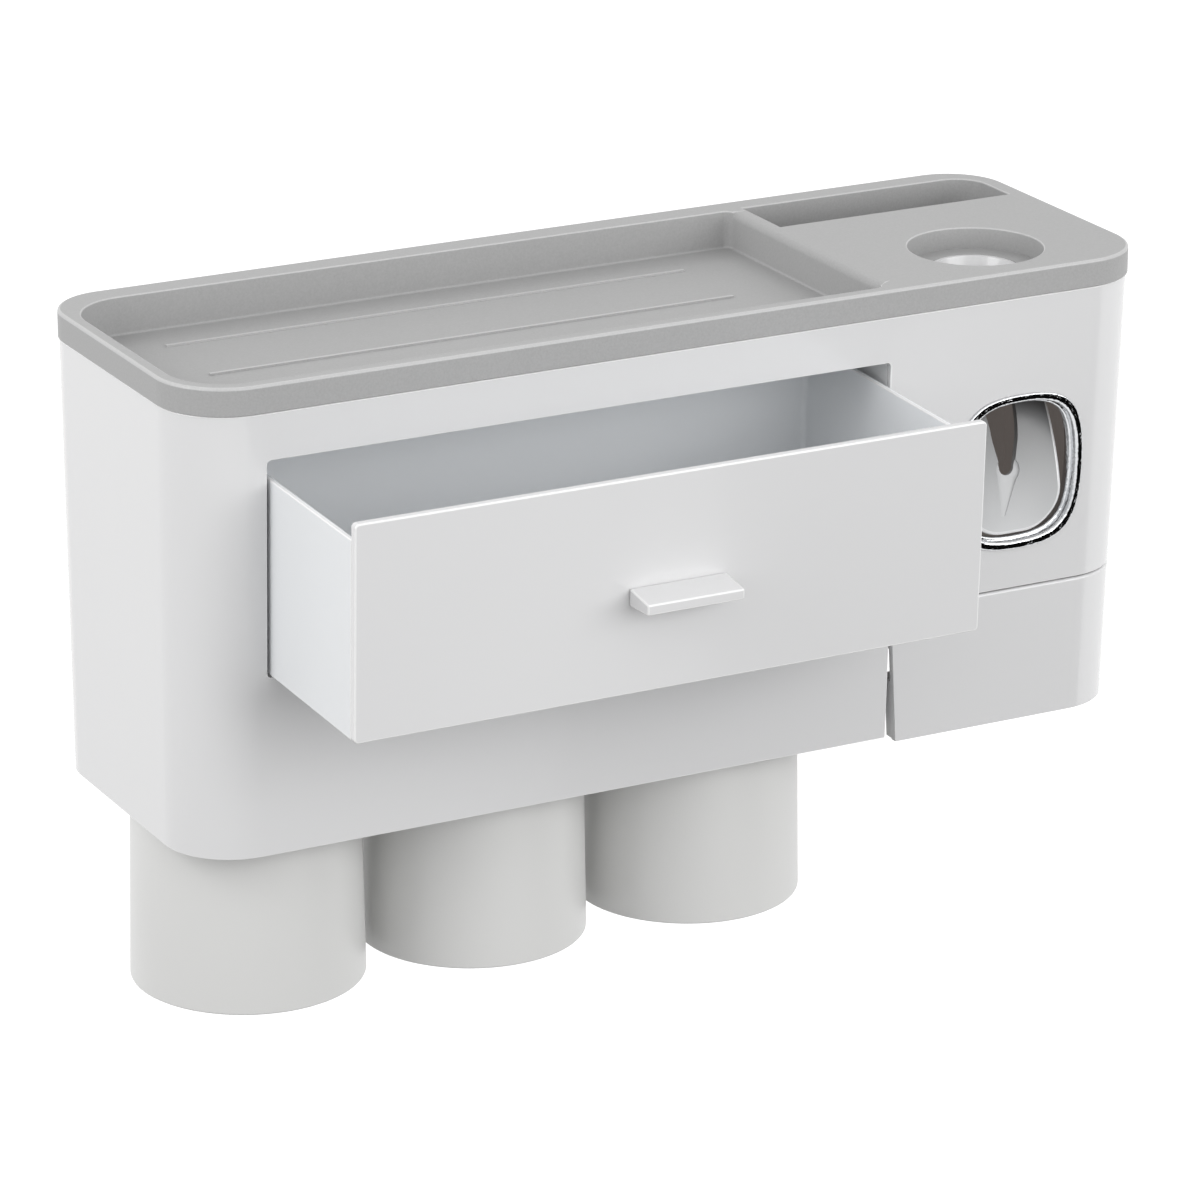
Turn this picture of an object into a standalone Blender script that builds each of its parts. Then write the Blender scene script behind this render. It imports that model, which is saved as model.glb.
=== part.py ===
"""A wall-hung toothbrush holder: tray, drawer, three hanging cups, paste dispenser and covered brush rack.

Metres, +Z up, X to the right, the front faces -Y. The origin is the middle of the wall mount, on the wall.
Drops are measured down from the tray's top edge. The front wall leans back towards its foot, and the
drawer, the window and the dispenser's case are laid out square to it, in the face frame.
"""
import math

import bmesh
import bpy
from mathutils import Matrix, Vector

for old in list(bpy.data.objects):
    bpy.data.objects.remove(old)

# Sizes that the whole holder shares
tray_depth = 0.1132
tray_band = 0.0088
front_corner = 0.0227
rear_corner = 0.0195
tray_top = 0.055
wall_gap = 0.001
touch = 0.0003
overrun = 0.004
bite = 0.0008
corner_steps = 8
round_steps = 40
small_steps = 20
full_round_share = 0.99

# Housing
shell_height = 0.1435
shell_wall = 0.0022
shell_inset = 0.0004
side_draft = 0.0013
front_lean = 0.0044

# Wall plate, its adhesive pad and the back panel
pad_width = 0.196
pad_height = 0.040
pad_thickness = 0.001
plate_margin = 0.004
plate_thickness = 0.0015
plate_clearance = 0.004
panel_flange = 0.011
panel_thickness = 0.0018
hook_spacing = 0.130
hook_width = 0.014
hook_thickness = 0.0015
hook_rise = 0.008
back_screw_rise = 0.016
screw_head_radius = 0.0026
screw_head_height = 0.0009
screw_shank_radius = 0.0013
screw_tip = 0.0010

# Drawer
opening_drop = 0.0242
opening_height = 0.0698
opening_corner = 0.0025
opening_left_margin = 0.0262
opening_right_margin = 0.0047
drawer_side_gap = 0.0008
drawer_end_gap = 0.0005
drawer_pulled = 0.0589
drawer_more_travel = 0.015
drawer_depth = 0.1018
drawer_wall = 0.0018
drawer_left_inset = 0.0003
drawer_right_inset = 0.0021
drawer_corner = 0.0035
front_edge_round = 0.0012
drawer_front_thickness = 0.003
drawer_front_rise = 0.0058
handle_width = 0.033
handle_reach = 0.012
handle_drop = 0.0365
handle_root_height = 0.0056
handle_lip_height = 0.0030
handle_top_fall = 0.0014
bay_wall = 0.0018
bay_flange = 0.0055
bay_flange_thickness = 0.0016
bay_rail_width = 0.0040
bay_rail_height = 0.0030
bay_rail_gap = 0.0006
bay_rail_hold = 0.004
bay_rear_gap = 0.0010

# Cups, their steel discs, and the deck with its magnets
cup_count = 3
cup_gap = 0.0041
cup_left_margin = 0.0031
cup_right_margin = 0.0108
cup_rear = 0.0602
cup_mouth_radius = 0.0375
cup_taper = 0.0022
cup_height = 0.1094
cup_wall = 0.0018
cup_floor = 0.0034
cup_base_round = 0.0025
cup_rim_round = 0.0006
disc_radius = 0.0125
disc_thickness = 0.0015
magnet_radius = 0.0125
magnet_thickness = 0.003
magnet_floor = 0.0014
magnet_boss_height = 0.0021
magnet_rim = 0.0025
deck_thickness = 0.0026
deck_drop = 0.0968

# Dispenser
dispenser_right_margin = 0.048
window_drop = 0.068
window_half_width = 0.0238
window_half_height = 0.0264
window_power = 3.0
window_steps = 48
bezel_lip = 0.0014
bezel_width = 0.0028
bezel_proud = 0.0009
bezel_depth = 0.006
case_half_width = 0.027
case_wall = 0.0018
case_depth = 0.052
case_top_drop = 0.0185
case_bottom_drop = 0.1000
lever_half_width = 0.018
lever_thickness = 0.0018
lever_dish = 0.0010
lever_curl = 4
lever_rows = 12
lever_columns = 12
pivot_depth = 0.020
pivot_rise = 0.027
lever_top_depth = 0.0186
lever_top_rise = 0.0256
lever_lip_depth = 0.0012
lever_lip_drop = 0.0212
lever_hub_radius = 0.0034
lever_pin_radius = 0.0015
notch_foot_half = 0.0027
notch_waist_half = 0.0036
notch_waist_rise = 0.0080
notch_top_half = 0.0055
notch_drop = 0.0035
arm_half_width = 0.0050
arm_reach = 0.0125
arm_height = 0.0034
arm_drop = 0.0048
foot_radius = 0.0056
foot_height = 0.0014
stem_radius = 0.0036
stem_height = 0.0150
spring_radius = 0.0044
spring_wire_radius = 0.0003
spring_turns = 3.5
pump_half_width = 0.013
pump_height = 0.0120
pump_front_reach = 0.021
pump_rear_reach = 0.010
nozzle_reach = 0.0165
nozzle_radius = 0.0030
nozzle_tip_radius = 0.0022
nozzle_bore_radius = 0.0014
nozzle_length = 0.0100
paste_bore_radius = 0.0020

# Tube hole and what is under it
hole_rear = 0.0825
hole_shift = 0.0010
hole_radius = 0.0220
hole_collar_wall = 0.0020
hole_depth = 0.0070
ring_inner_radius = 0.0148
ring_thickness = 0.0014
socket_flange = 0.0014
socket_flange_radius = 0.0200
socket_rim_wall = 0.0013
socket_depth = 0.0046
socket_wall = 0.0018
socket_bore_radius = 0.0070
socket_neck_radius = 0.0090
socket_neck = 0.0052
seal_bore_radius = 0.0042
seal_height = 0.0030

# Brush rack and dust cover
slot_gap = 0.0014
slot_spread = 0.0024
slot_straight_drop = 0.1210
cover_width = 0.0929
cover_drop = 0.1078
cover_seam = 0.0008
cover_edge_round = 0.0018
cover_foot = 0.0020
cover_wall = 0.0024
cover_reach = 0.032
cover_side_gap = 0.0005
cover_lug = 0.0024
cover_lug_inset = 0.0015
hinge_setback = 0.0056
hinge_drop = 0.0140
hinge_clearance = 0.0004
hinge_pin_radius = 0.00125
hinge_boss_radius = 0.0030
rack_cheek = 0.0020
rack_plate = 0.0024
rack_screw_spacing = 0.040
rack_top_reach = 0.046
rack_right_margin = 0.0235
comb_drop = 0.1417
comb_rear = 0.0810
comb_front_gap = 0.0024
brush_slots = 4
brush_slot_width = 0.0085
brush_slot_depth = 0.0165
arm_thickness = 0.0058
cheek_clearance = 0.0012
partition_wall = 0.0020
partition_gap = 0.0004

# Tray
rim_side = 0.0042
rim_front = 0.0046
rim_rear = 0.0094
recess_floor_drop = 0.0126
recess_right_margin = 0.0056
recess_corner = 0.0190
recess_draft = 0.0012
recess_inner_corner = 0.0030
tray_floor = 0.0020
tray_wall = 0.0020
tray_deck = 0.0024
tray_skirt_gap = 0.0005
tray_edge_round = 0.0010
comb_pocket_rear = 0.0085
rib_margin = 0.0271
rib_width = 0.0012
rib_height = 0.0006
rib_rear = 0.0270
rib_front = 0.0600
comb_pocket_left_wall = 0.0050
comb_pocket_right_margin = 0.0060
comb_pocket_width = 0.0255
comb_pocket_depth = 0.0400
comb_pocket_corner = 0.0110
comb_pocket_square_corner = 0.0020

# Places that follow from the sizes
cups_width = 2 * cup_count * cup_mouth_radius + (cup_count - 1) * cup_gap
tray_width = cup_left_margin + cups_width + cup_right_margin + cover_width
left, right = -tray_width / 2, tray_width / 2
rear = -wall_gap
front = rear - tray_depth
cover_left = right - cover_width
dispenser_x = right - dispenser_right_margin
rack_right = right - rack_right_margin
opening_left = left + opening_left_margin
opening_right = cover_left - opening_right_margin
recess_left = left + rim_side
recess_right = cover_left - recess_right_margin
cup_base_radius = cup_mouth_radius - cup_taper
shell_top = tray_top - tray_band - touch
shell_bottom = shell_top - shell_height
lean = math.atan(front_lean / shell_height)


def level(drop):
    """Height of a place that lies this far below the tray's top edge."""
    return tray_top - drop


def face_y(z):
    """The front wall's outer face at a height, before its corners."""
    return front + shell_inset + front_lean * (shell_top - z) / shell_height


def side_x(z):
    """Half the housing's width at a height."""
    return tray_width / 2 - shell_inset - side_draft * (shell_top - z) / shell_height


hole_x, hole_y = dispenser_x - hole_shift, rear - hole_rear
face_origin = Vector((0, face_y(shell_top), shell_top))
face_frame = Matrix.Translation(face_origin) @ Matrix.Rotation(lean, 4, "X")


def on_face(drop):
    """Height in the face frame of a drop that is measured on the front wall."""
    return (level(drop) - shell_top) / math.cos(lean)


# Materials
def plastic(name, colour, roughness, metallic=0.0):
    material = bpy.data.materials.new(name)
    material.use_nodes = True
    shader = material.node_tree.nodes["Principled BSDF"]
    shader.inputs["Base Color"].default_value = (*colour, 1)
    shader.inputs["Roughness"].default_value = roughness
    shader.inputs["Metallic"].default_value = metallic
    return material


WHITE = ((0.80, 0.81, 0.82), 0.22)
CUP_WHITE = ((0.76, 0.77, 0.75), 0.40)
GREY = ((0.40, 0.40, 0.41), 0.50)
DARK = ((0.06, 0.055, 0.05), 0.45)
LEVER = ((0.55, 0.56, 0.57), 0.30)
CHROME = ((0.85, 0.86, 0.88), 0.06, 1.0)
STEEL = ((0.60, 0.61, 0.62), 0.30, 1.0)
MAGNET = ((0.35, 0.35, 0.36), 0.35, 1.0)
SILICONE = ((0.62, 0.63, 0.62), 0.60)
FOAM = ((0.72, 0.72, 0.70), 0.85)


# Outlines, as lists of points in a plane
def rounded(left, right, low, high, corners):
    """A rectangle with a radius at each corner: low left, low right, high right, high left."""
    middles = ((left, low, 1, 1), (right, low, -1, 1), (right, high, -1, -1), (left, high, 1, -1))
    points = []
    for i, (x, y, to_right, to_high) in enumerate(middles):
        radius = corners[i]
        cx, cy = x + to_right * radius, y + to_high * radius
        for step in range(corner_steps + 1):
            turn = math.pi + math.pi / 2 * (i + step / corner_steps)
            points.append((cx + radius * math.cos(turn), cy + radius * math.sin(turn)))
    return points


def arc_points(centre, radius, start, end):
    """Points on an arc, from one angle to another. Angle zero points along the first of the two axes."""
    points = []
    for step in range(corner_steps + 1):
        turn = start + (end - start) * step / corner_steps
        points.append((centre[0] + radius * math.cos(turn), centre[1] + radius * math.sin(turn)))
    return points


def housing_outline(z, inset, rear_inset):
    """The housing's outline at a height, drawn in at its front and sides, and at its rear."""
    half = side_x(z) - inset
    corners = [front_corner - inset] * 2 + [rear_corner - inset] * 2
    return rounded(-half, half, face_y(z) + inset, rear - rear_inset, corners)


def tray_outline(inset):
    half = tray_width / 2 - inset
    corners = [front_corner - inset] * 2 + [rear_corner - inset] * 2
    return rounded(-half, half, front + inset, rear - inset, corners)


def window_outline(inset):
    """The dispenser window's soft square, round the window's middle in the face frame."""
    half_width, half_height = window_half_width - inset, window_half_height - inset
    middle = on_face(window_drop)
    points = []
    for step in range(window_steps):
        turn = 2 * math.pi * step / window_steps
        c, s = math.cos(turn), math.sin(turn)
        along = math.copysign(abs(c) ** (2 / window_power), c)
        up = math.copysign(abs(s) ** (2 / window_power), s)
        points.append((dispenser_x + half_width * along, middle + half_height * up))
    return points


# Solids
def solid(name, mesh, look=None, frame=None):
    """Makes an object of a mesh under construction. One with no look is a cutter or a joiner."""
    bmesh.ops.remove_doubles(mesh, verts=mesh.verts, dist=touch / 100)
    bmesh.ops.recalc_face_normals(mesh, faces=mesh.faces)
    data = bpy.data.meshes.new(name)
    mesh.to_mesh(data)
    mesh.free()
    made = bpy.data.objects.new(name, data)
    bpy.context.scene.collection.objects.link(made)
    if frame is not None:
        made.matrix_world = frame
    if look is None:
        made.hide_render = True
        made.display_type = "WIRE"
    else:
        data.materials.append(plastic(name, *look))
    return made


def bridge(mesh, loops, closed=False):
    """Joins loops of corners with faces. An open stack of loops is capped at both ends."""
    pairs = list(zip(loops, loops[1:] + loops[:1])) if closed else list(zip(loops, loops[1:]))
    for lower, upper in pairs:
        for i in range(len(lower)):
            j = (i + 1) % len(lower)
            mesh.faces.new((lower[i], lower[j], upper[j], upper[i]))
    if not closed:
        mesh.faces.new(loops[0])
        mesh.faces.new(loops[-1])


def prism(name, outline, axis, start, end, look=None, frame=None):
    """An outline carried along an axis. The outline's two numbers follow the other axes in order."""
    places = {
        "X": lambda a, b, t: (t, a, b),
        "Y": lambda a, b, t: (a, t, b),
        "Z": lambda a, b, t: (a, b, t),
    }
    mesh = bmesh.new()
    loops = [[mesh.verts.new(places[axis](a, b, t)) for a, b in outline] for t in (start, end)]
    bridge(mesh, loops)
    return solid(name, mesh, look, frame)


def block(name, xs, ys, zs, look=None, frame=None):
    outline = [(xs[0], ys[0]), (xs[1], ys[0]), (xs[1], ys[1]), (xs[0], ys[1])]
    return prism(name, outline, "Z", zs[0], zs[1], look, frame)


def loft(name, sections, look=None, frame=None):
    """Outlines of as many points each, stacked at heights."""
    mesh = bmesh.new()
    bridge(mesh, [[mesh.verts.new((x, y, z)) for x, y in outline] for outline, z in sections])
    return solid(name, mesh, look, frame)


def turned(name, profile, look=None, frame=None, steps=round_steps):
    """Turns (radius, height) points about +Z. Both ends of the profile lie on the axis, or it is a ring."""
    mesh = bmesh.new()
    ring = profile[0][0] > 0
    columns = []
    for step in range(steps):
        turn = 2 * math.pi * step / steps
        c, s = math.cos(turn), math.sin(turn)
        columns.append([mesh.verts.new((r * c, r * s, z)) for r, z in profile])
    for i, column in enumerate(columns):
        following = columns[(i + 1) % steps]
        spans = range(len(profile)) if ring else range(len(profile) - 1)
        for k in spans:
            m = (k + 1) % len(profile)
            corners = [column[k], following[k], following[m], column[m]]
            if profile[k][0] == 0:
                corners.pop(1)
            elif profile[m][0] == 0:
                corners.pop(2)
            mesh.faces.new(corners)
    return solid(name, mesh, look, frame)


def rod(name, radius, start, end, look=None, steps=small_steps):
    """A round bar from one point to another."""
    start, end = Vector(start), Vector(end)
    length = (end - start).length
    frame = Matrix.Translation(start) @ (end - start).to_track_quat("Z", "Y").to_matrix().to_4x4()
    return turned(name, [(0, 0), (radius, 0), (radius, length), (0, length)], look, frame, steps)


def upright(name, radius, x, y, low, high, look=None, steps=round_steps):
    """A round bar that stands on end."""
    return rod(name, radius, (x, y, low), (x, y, high), look, steps)


def carry(piece, point):
    """Puts a piece's origin on a point, such as one on its joint's axis, and leaves the piece in place."""
    piece.data.transform(Matrix.Translation(-Vector(point)))
    piece.location = point
    return piece


def combine(target, other, operation):
    step = target.modifiers.new(other.name, "BOOLEAN")
    step.operation = operation
    step.solver = "EXACT"
    step.object = other


def cut(target, *cutters):
    for cutter in cutters:
        combine(target, cutter, "DIFFERENCE")


def join(target, *others):
    for other in others:
        combine(target, other, "UNION")


def at(x, y, z):
    return Matrix.Translation((x, y, z))


# Wall mount
plate_half_width = pad_width / 2 + plate_margin
plate_half_height = pad_height / 2 + plate_margin
plate_rear = -pad_thickness - touch
plate_front = plate_rear - plate_thickness
mouth_half_width = plate_half_width + plate_clearance
mouth_half_height = plate_half_height + plate_clearance
panel_half_width = mouth_half_width + panel_flange
panel_half_height = mouth_half_height + panel_flange / 2
panel_rear = plate_front - touch
panel_front = panel_rear - panel_thickness
rear_wall = rear - touch - panel_rear


def wall_mount():
    """The pad that sticks to the wall, and the plate on it with two upturned hooks."""
    half_width, half_height = pad_width / 2, pad_height / 2
    block("adhesive_pad", (-half_width, half_width), (-pad_thickness, 0), (-half_height, half_height), FOAM)
    plate = block(
        "wall_plate",
        (-plate_half_width, plate_half_width),
        (plate_front, plate_rear),
        (-plate_half_height, plate_half_height),
        STEEL,
    )
    tip_rear = panel_front - touch
    tip_front = tip_rear - hook_thickness
    hook = [
        (plate_rear - bite, 0),
        (tip_front, 0),
        (tip_front, hook_rise),
        (tip_rear, hook_rise),
        (tip_rear, hook_thickness),
        (plate_rear - bite, hook_thickness),
    ]
    for side in (-1, 1):
        middle = side * hook_spacing / 2
        arm = prism("hook_shape", hook, "X", middle - hook_width / 2, middle + hook_width / 2)
        join(plate, arm)


def back_panel():
    """Closes the housing's rear mouth from inside. Its two slots hang on the wall plate's hooks."""
    panel = block(
        "back_panel",
        (-panel_half_width, panel_half_width),
        (panel_front, panel_rear),
        (-panel_half_height, panel_half_height),
        WHITE,
    )
    slot_half = hook_width / 2 + 2 * touch
    slot_top = hook_thickness + touch
    slot_low = slot_top - hook_rise - hook_thickness
    for side in (-1, 1):
        middle = side * hook_spacing / 2
        slot = block(
            "hook_slot",
            (middle - slot_half, middle + slot_half),
            (panel_front - overrun, panel_rear + overrun),
            (slot_low, slot_top),
        )
        cut(panel, slot)
    return panel


def back_screws(shell, panel):
    """Four screws hold the back panel. Their heads are sunk in the housing's rear wall."""
    across = mouth_half_width + panel_flange / 2
    head_floor = rear - screw_head_height
    length = rear - touch - panel_front + screw_tip
    for i, (side, up) in enumerate(((-1, -1), (1, -1), (1, 1), (-1, 1))):
        x, z = side * across, up * back_screw_rise
        profile = [
            (0, 0),
            (screw_head_radius, 0),
            (screw_head_radius, screw_head_height),
            (screw_shank_radius, screw_head_height),
            (screw_shank_radius, length),
            (0, length),
        ]
        frame = at(x, rear - touch, z) @ Matrix.Rotation(math.pi / 2, 4, "X")
        turned(f"back_screw_{i + 1}", profile, STEEL, frame, small_steps)
        ends = [(x, y, z) for y in (rear + overrun, head_floor - 2 * touch)]
        head_hole = rod("screw_head_hole", screw_head_radius + touch, *ends)
        ends = [(x, y, z) for y in (rear, panel_front - overrun)]
        shank_hole = rod("screw_shank_hole", screw_shank_radius + touch, *ends)
        cut(shell, head_hole, shank_hole)
        cut(panel, shank_hole)


# Housing and deck
seam_top = level(cover_drop)
cover_top = seam_top - cover_seam
slot_edge = cover_left - slot_gap
partition_right = cover_left - partition_gap
partition_left = partition_right - partition_wall
deck_top = level(deck_drop)
deck_bottom = deck_top - deck_thickness


def housing():
    """The gloss shell: open at its top and foot, cut for the drawer, the window and the dust cover."""
    ends = (shell_bottom, shell_top)
    shell = loft("housing", [(housing_outline(z, 0, 0), z) for z in ends], WHITE)
    ends = (shell_bottom - overrun, shell_top + overrun)
    hollow = loft("housing_hollow", [(housing_outline(z, shell_wall, rear_wall), z) for z in ends])
    ends = (-overrun, shell_wall + overrun)
    opening = prism("drawer_opening", opening_outline(0), "Y", *ends, frame=face_frame)
    window = prism("window_hole", window_outline(bezel_lip), "Y", *ends, frame=face_frame)
    mouth = block(
        "wall_plate_mouth",
        (-mouth_half_width, mouth_half_width),
        (rear - rear_wall - overrun, rear + overrun),
        (-mouth_half_height, mouth_half_height),
    )
    reach = cover_arc + cover_side_gap
    outline = [(front - overrun, shell_bottom - overrun), (hinge_y + reach, shell_bottom - overrun)]
    outline += arc_points((hinge_y, hinge_z), reach, 0, math.asin((seam_top - hinge_z) / reach))
    outline += [(front - overrun, seam_top)]
    corner = prism("cover_cutaway", outline, "X", slot_edge, right + overrun)
    cut(shell, hollow, opening, window, mouth, corner)
    return shell


def opening_outline(grow):
    """The drawer opening in the face frame, grown all round."""
    high = on_face(opening_drop) + grow
    low = high - opening_height - 2 * grow
    return rounded(opening_left - grow, opening_right + grow, low, high, [opening_corner + grow] * 4)


def partition():
    """The wall that parts the cups from the brushes. Its front edge shows in the slot beside the cover."""
    low = shell_bottom + partition_wall
    outline = [
        (face_y(low) + shell_wall + touch, low),
        (rear - rear_wall - touch, low),
        (rear - rear_wall - touch, deck_top),
        (face_y(deck_top) + shell_wall + touch, deck_top),
    ]
    prism("partition", outline, "X", partition_left, partition_right, WHITE)


def cup_deck():
    """The plate under the drawer bay. A boss under it holds each magnet, which drops in from above."""
    inset, rear_inset = shell_wall + touch, rear_wall + touch
    ends = (deck_bottom, deck_top)
    deck = loft("cup_deck", [(housing_outline(z, inset, rear_inset), z) for z in ends], WHITE)
    beyond = block(
        "deck_end",
        (partition_left - touch, right),
        (front, rear),
        (deck_bottom - overrun, deck_top + overrun),
    )
    cut(deck, beyond)
    low = deck_bottom - magnet_boss_height
    magnet_low = low + magnet_floor + touch
    for i in range(cup_count):
        x, y = cup_place(i)
        boss_top, pocket_low = deck_bottom + bite, low + magnet_floor
        boss = upright("magnet_boss", magnet_radius + magnet_rim, x, y, low, boss_top)
        pocket = upright("magnet_pocket", magnet_radius + touch, x, y, pocket_low, deck_top + overrun)
        join(deck, boss)
        cut(deck, pocket)
        magnet_high = magnet_low + magnet_thickness
        upright(f"deck_magnet_{i + 1}", magnet_radius, x, y, magnet_low, magnet_high, MAGNET)


# Cups
def cup_place(i):
    first = left + cup_left_margin + cup_mouth_radius
    return first + i * (2 * cup_mouth_radius + cup_gap), rear - cup_rear


def cups():
    """The cups, hung upside down by steel discs in their bases."""
    base = deck_bottom - magnet_boss_height - touch
    inner = cup_mouth_radius - cup_wall
    floor_radius = cup_base_radius - cup_wall - cup_base_round / 2
    profile = [(0, cup_height - cup_floor), (floor_radius, cup_height - cup_floor)]
    profile += [(cup_base_radius - cup_wall, cup_height - cup_floor - cup_base_round / 2)]
    profile += [(inner, cup_rim_round), (inner + cup_rim_round, 0), (cup_mouth_radius - cup_rim_round, 0)]
    profile += [(cup_mouth_radius, cup_rim_round)]
    round_parts = 4
    for step in range(round_parts + 1):
        turn = math.pi / 2 * step / round_parts
        radius = cup_base_radius - cup_base_round * (1 - math.cos(turn))
        profile.append((radius, cup_height - cup_base_round * (1 - math.sin(turn))))
    seat = disc_radius + touch
    depth = disc_thickness + touch
    profile += [(seat, cup_height), (seat, cup_height - depth), (0, cup_height - depth)]
    for i in range(cup_count):
        x, y = cup_place(i)
        turned(f"cup_{i + 1}", profile, CUP_WHITE, at(x, y, base - cup_height))
        upright(f"cup_disc_{i + 1}", disc_radius, x, y, base - disc_thickness, base, STEEL)


# Drawer
bay_start = shell_wall + touch
bay_low = on_face(opening_drop) - opening_height - bay_wall
bay_end = (panel_front - bay_rear_gap - face_origin.y + math.sin(lean) * bay_low) / math.cos(lean)
drawer_left = opening_left + drawer_side_gap
drawer_right = opening_right - drawer_side_gap
drawer_high = on_face(opening_drop) - drawer_end_gap
drawer_low = on_face(opening_drop) - opening_height + drawer_end_gap
box_left = drawer_left + drawer_left_inset
box_right = drawer_right - drawer_right_inset
box_high = drawer_high - drawer_front_rise
drawer_frame = face_frame @ at(0, -drawer_pulled, 0)


def drawer():
    """The front, its wedge handle and the open box behind it, pulled out as far as it stands at rest."""
    outline = rounded(drawer_left, drawer_right, drawer_low, drawer_high, [opening_corner] * 4)
    front_plate = prism("drawer_front", outline, "Y", 0, drawer_front_thickness, WHITE, drawer_frame)
    soften(front_plate, front_edge_round)
    box_front = drawer_front_thickness + touch
    box_rear = box_front + drawer_depth
    corners = [drawer_wall / 2] * 2 + [drawer_corner] * 2
    outline = rounded(box_left, box_right, box_front, box_rear, corners)
    box = prism("drawer_box", outline, "Z", drawer_low, box_high, WHITE, drawer_frame)
    corner = drawer_corner - drawer_wall
    outline = rounded(
        box_left + drawer_wall,
        box_right - drawer_wall,
        box_front + drawer_wall,
        box_rear - drawer_wall,
        [corner] * 4,
    )
    floor = drawer_low + drawer_wall
    cut(box, prism("drawer_inside", outline, "Z", floor, box_high + overrun, frame=drawer_frame))
    middle = (drawer_left + drawer_right) / 2
    top = drawer_high - handle_drop + handle_root_height / 2
    wedge = [
        (-touch, top),
        (-touch, top - handle_root_height),
        (-handle_reach, top - handle_top_fall - handle_lip_height),
        (-handle_reach, top - handle_top_fall),
    ]
    start, end = middle - handle_width / 2, middle + handle_width / 2
    handle = prism("drawer_handle", wedge, "X", start, end, WHITE, drawer_frame)
    soften(handle, handle_lip_height / 5)


def soften(piece, width):
    """Rounds a piece's sharp edges."""
    step = piece.modifiers.new("soft_edges", "BEVEL")
    step.width = width
    step.segments = 3
    step.limit_method = "ANGLE"
    step.angle_limit = math.radians(40)


def drawer_bay():
    """The tunnel that the drawer runs in, its flange behind the front wall and its two hold-down rails."""
    bay = prism("drawer_bay", opening_outline(bay_wall), "Y", bay_start, bay_end, WHITE, face_frame)
    high = on_face(opening_drop) + bay_wall
    flange = block(
        "bay_flange",
        (opening_left, opening_right + bay_wall + bay_flange),
        (bay_start, bay_start + bay_flange_thickness),
        (bay_low, high + bay_flange / 2),
        frame=face_frame,
    )
    join(bay, flange)
    ends = (bay_start - overrun, bay_end + overrun)
    cut(bay, prism("bay_tunnel", opening_outline(0), "Y", *ends, frame=face_frame))
    rail_low = box_high + bay_rail_gap
    box_rear = drawer_front_thickness + touch + drawer_depth
    rail_start = box_rear - drawer_pulled - drawer_more_travel - bay_rail_hold
    rails = (
        ("drawer_rail_left", opening_left + touch, 1),
        ("drawer_rail_right", opening_right - touch, -1),
    )
    for name, wall, inward in rails:
        xs = sorted((wall, wall + inward * bay_rail_width))
        ys = (rail_start, bay_end)
        block(name, xs, ys, (rail_low, rail_low + bay_rail_height), WHITE, face_frame)


# Tray
def recess_outline(inset):
    corners = [recess_corner - inset] + [recess_inner_corner - inset] * 2 + [recess_corner - inset]
    return rounded(
        recess_left + inset,
        recess_right - inset,
        front + rim_front + inset,
        rear - rim_rear - inset,
        corners,
    )


def comb_pocket_outline(grow):
    high = rear - comb_pocket_rear + grow
    low = high - comb_pocket_width - 2 * grow
    corners = [comb_pocket_square_corner + grow] * 2 + [comb_pocket_corner + grow]
    corners += [comb_pocket_square_corner + grow]
    pocket_left = recess_right + comb_pocket_left_wall
    pocket_right = right - comb_pocket_right_margin
    return rounded(pocket_left - grow, pocket_right + grow, low, high, corners)


def top_tray():
    """The lift-off tray: a recess on the left, a comb pocket and the tube hole on the right."""
    under = tray_top - tray_band
    sections = [(tray_outline(0), under)]
    round_parts = 3
    for step in range(round_parts + 1):
        turn = math.pi / 2 * step / round_parts
        inset = tray_edge_round * (1 - math.cos(turn))
        sections.append((tray_outline(inset), tray_top - tray_edge_round * (1 - math.sin(turn))))
    tray = loft("top_tray", sections, GREY)
    hollow = rounded(
        recess_right + tray_wall,
        right - tray_wall,
        front + tray_wall,
        rear - tray_wall,
        [tray_wall, front_corner - tray_wall, rear_corner - tray_wall, tray_wall],
    )
    cut(tray, prism("tray_underside", hollow, "Z", under - overrun, tray_top - tray_deck))
    basin_inset = shell_inset + shell_wall + tray_skirt_gap
    basin = rounded(
        left + basin_inset,
        recess_right + tray_wall,
        front + basin_inset,
        rear - rim_rear + tray_wall,
        [front_corner - basin_inset, recess_inner_corner, recess_inner_corner, recess_corner],
    )
    floor = level(recess_floor_drop)
    join(tray, prism("recess_basin", basin, "Z", floor - tray_floor, tray_top - tray_deck / 2))
    hole_low = level(hole_depth)
    ring_low = hole_low - ring_thickness
    deck_middle = tray_top - tray_deck / 2
    above = tray_top + overrun
    collar = upright("hole_collar", hole_radius + hole_collar_wall, hole_x, hole_y, ring_low, deck_middle)
    pocket_low = level(comb_pocket_depth)
    pocket_foot = pocket_low - tray_wall
    pocket = prism("comb_pocket_wall", comb_pocket_outline(tray_wall), "Z", pocket_foot, deck_middle)
    join(tray, collar, pocket)
    slope = recess_draft / recess_floor_drop
    recess = [(recess_outline(recess_draft), floor), (recess_outline(-slope * overrun), above)]
    hole = upright("tube_hole", hole_radius, hole_x, hole_y, hole_low, above)
    ring = upright("ring_hole", ring_inner_radius, hole_x, hole_y, ring_low - overrun, tray_top)
    cut(tray, loft("recess", recess), hole, ring)
    cut(tray, prism("comb_pocket", comb_pocket_outline(0), "Z", pocket_low, above))
    for setback in (rib_rear, rib_front):
        y = rear - setback
        rib = block(
            "tray_rib",
            (recess_left + rib_margin, recess_right - rib_margin),
            (y - rib_width / 2, y + rib_width / 2),
            (floor - tray_floor / 2, floor + rib_height),
        )
        join(tray, rib)


# Dispenser
def behind(z, depth):
    """How far back a place is that lies this deep behind the front wall's face, at a height."""
    return face_y(z) + depth


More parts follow.
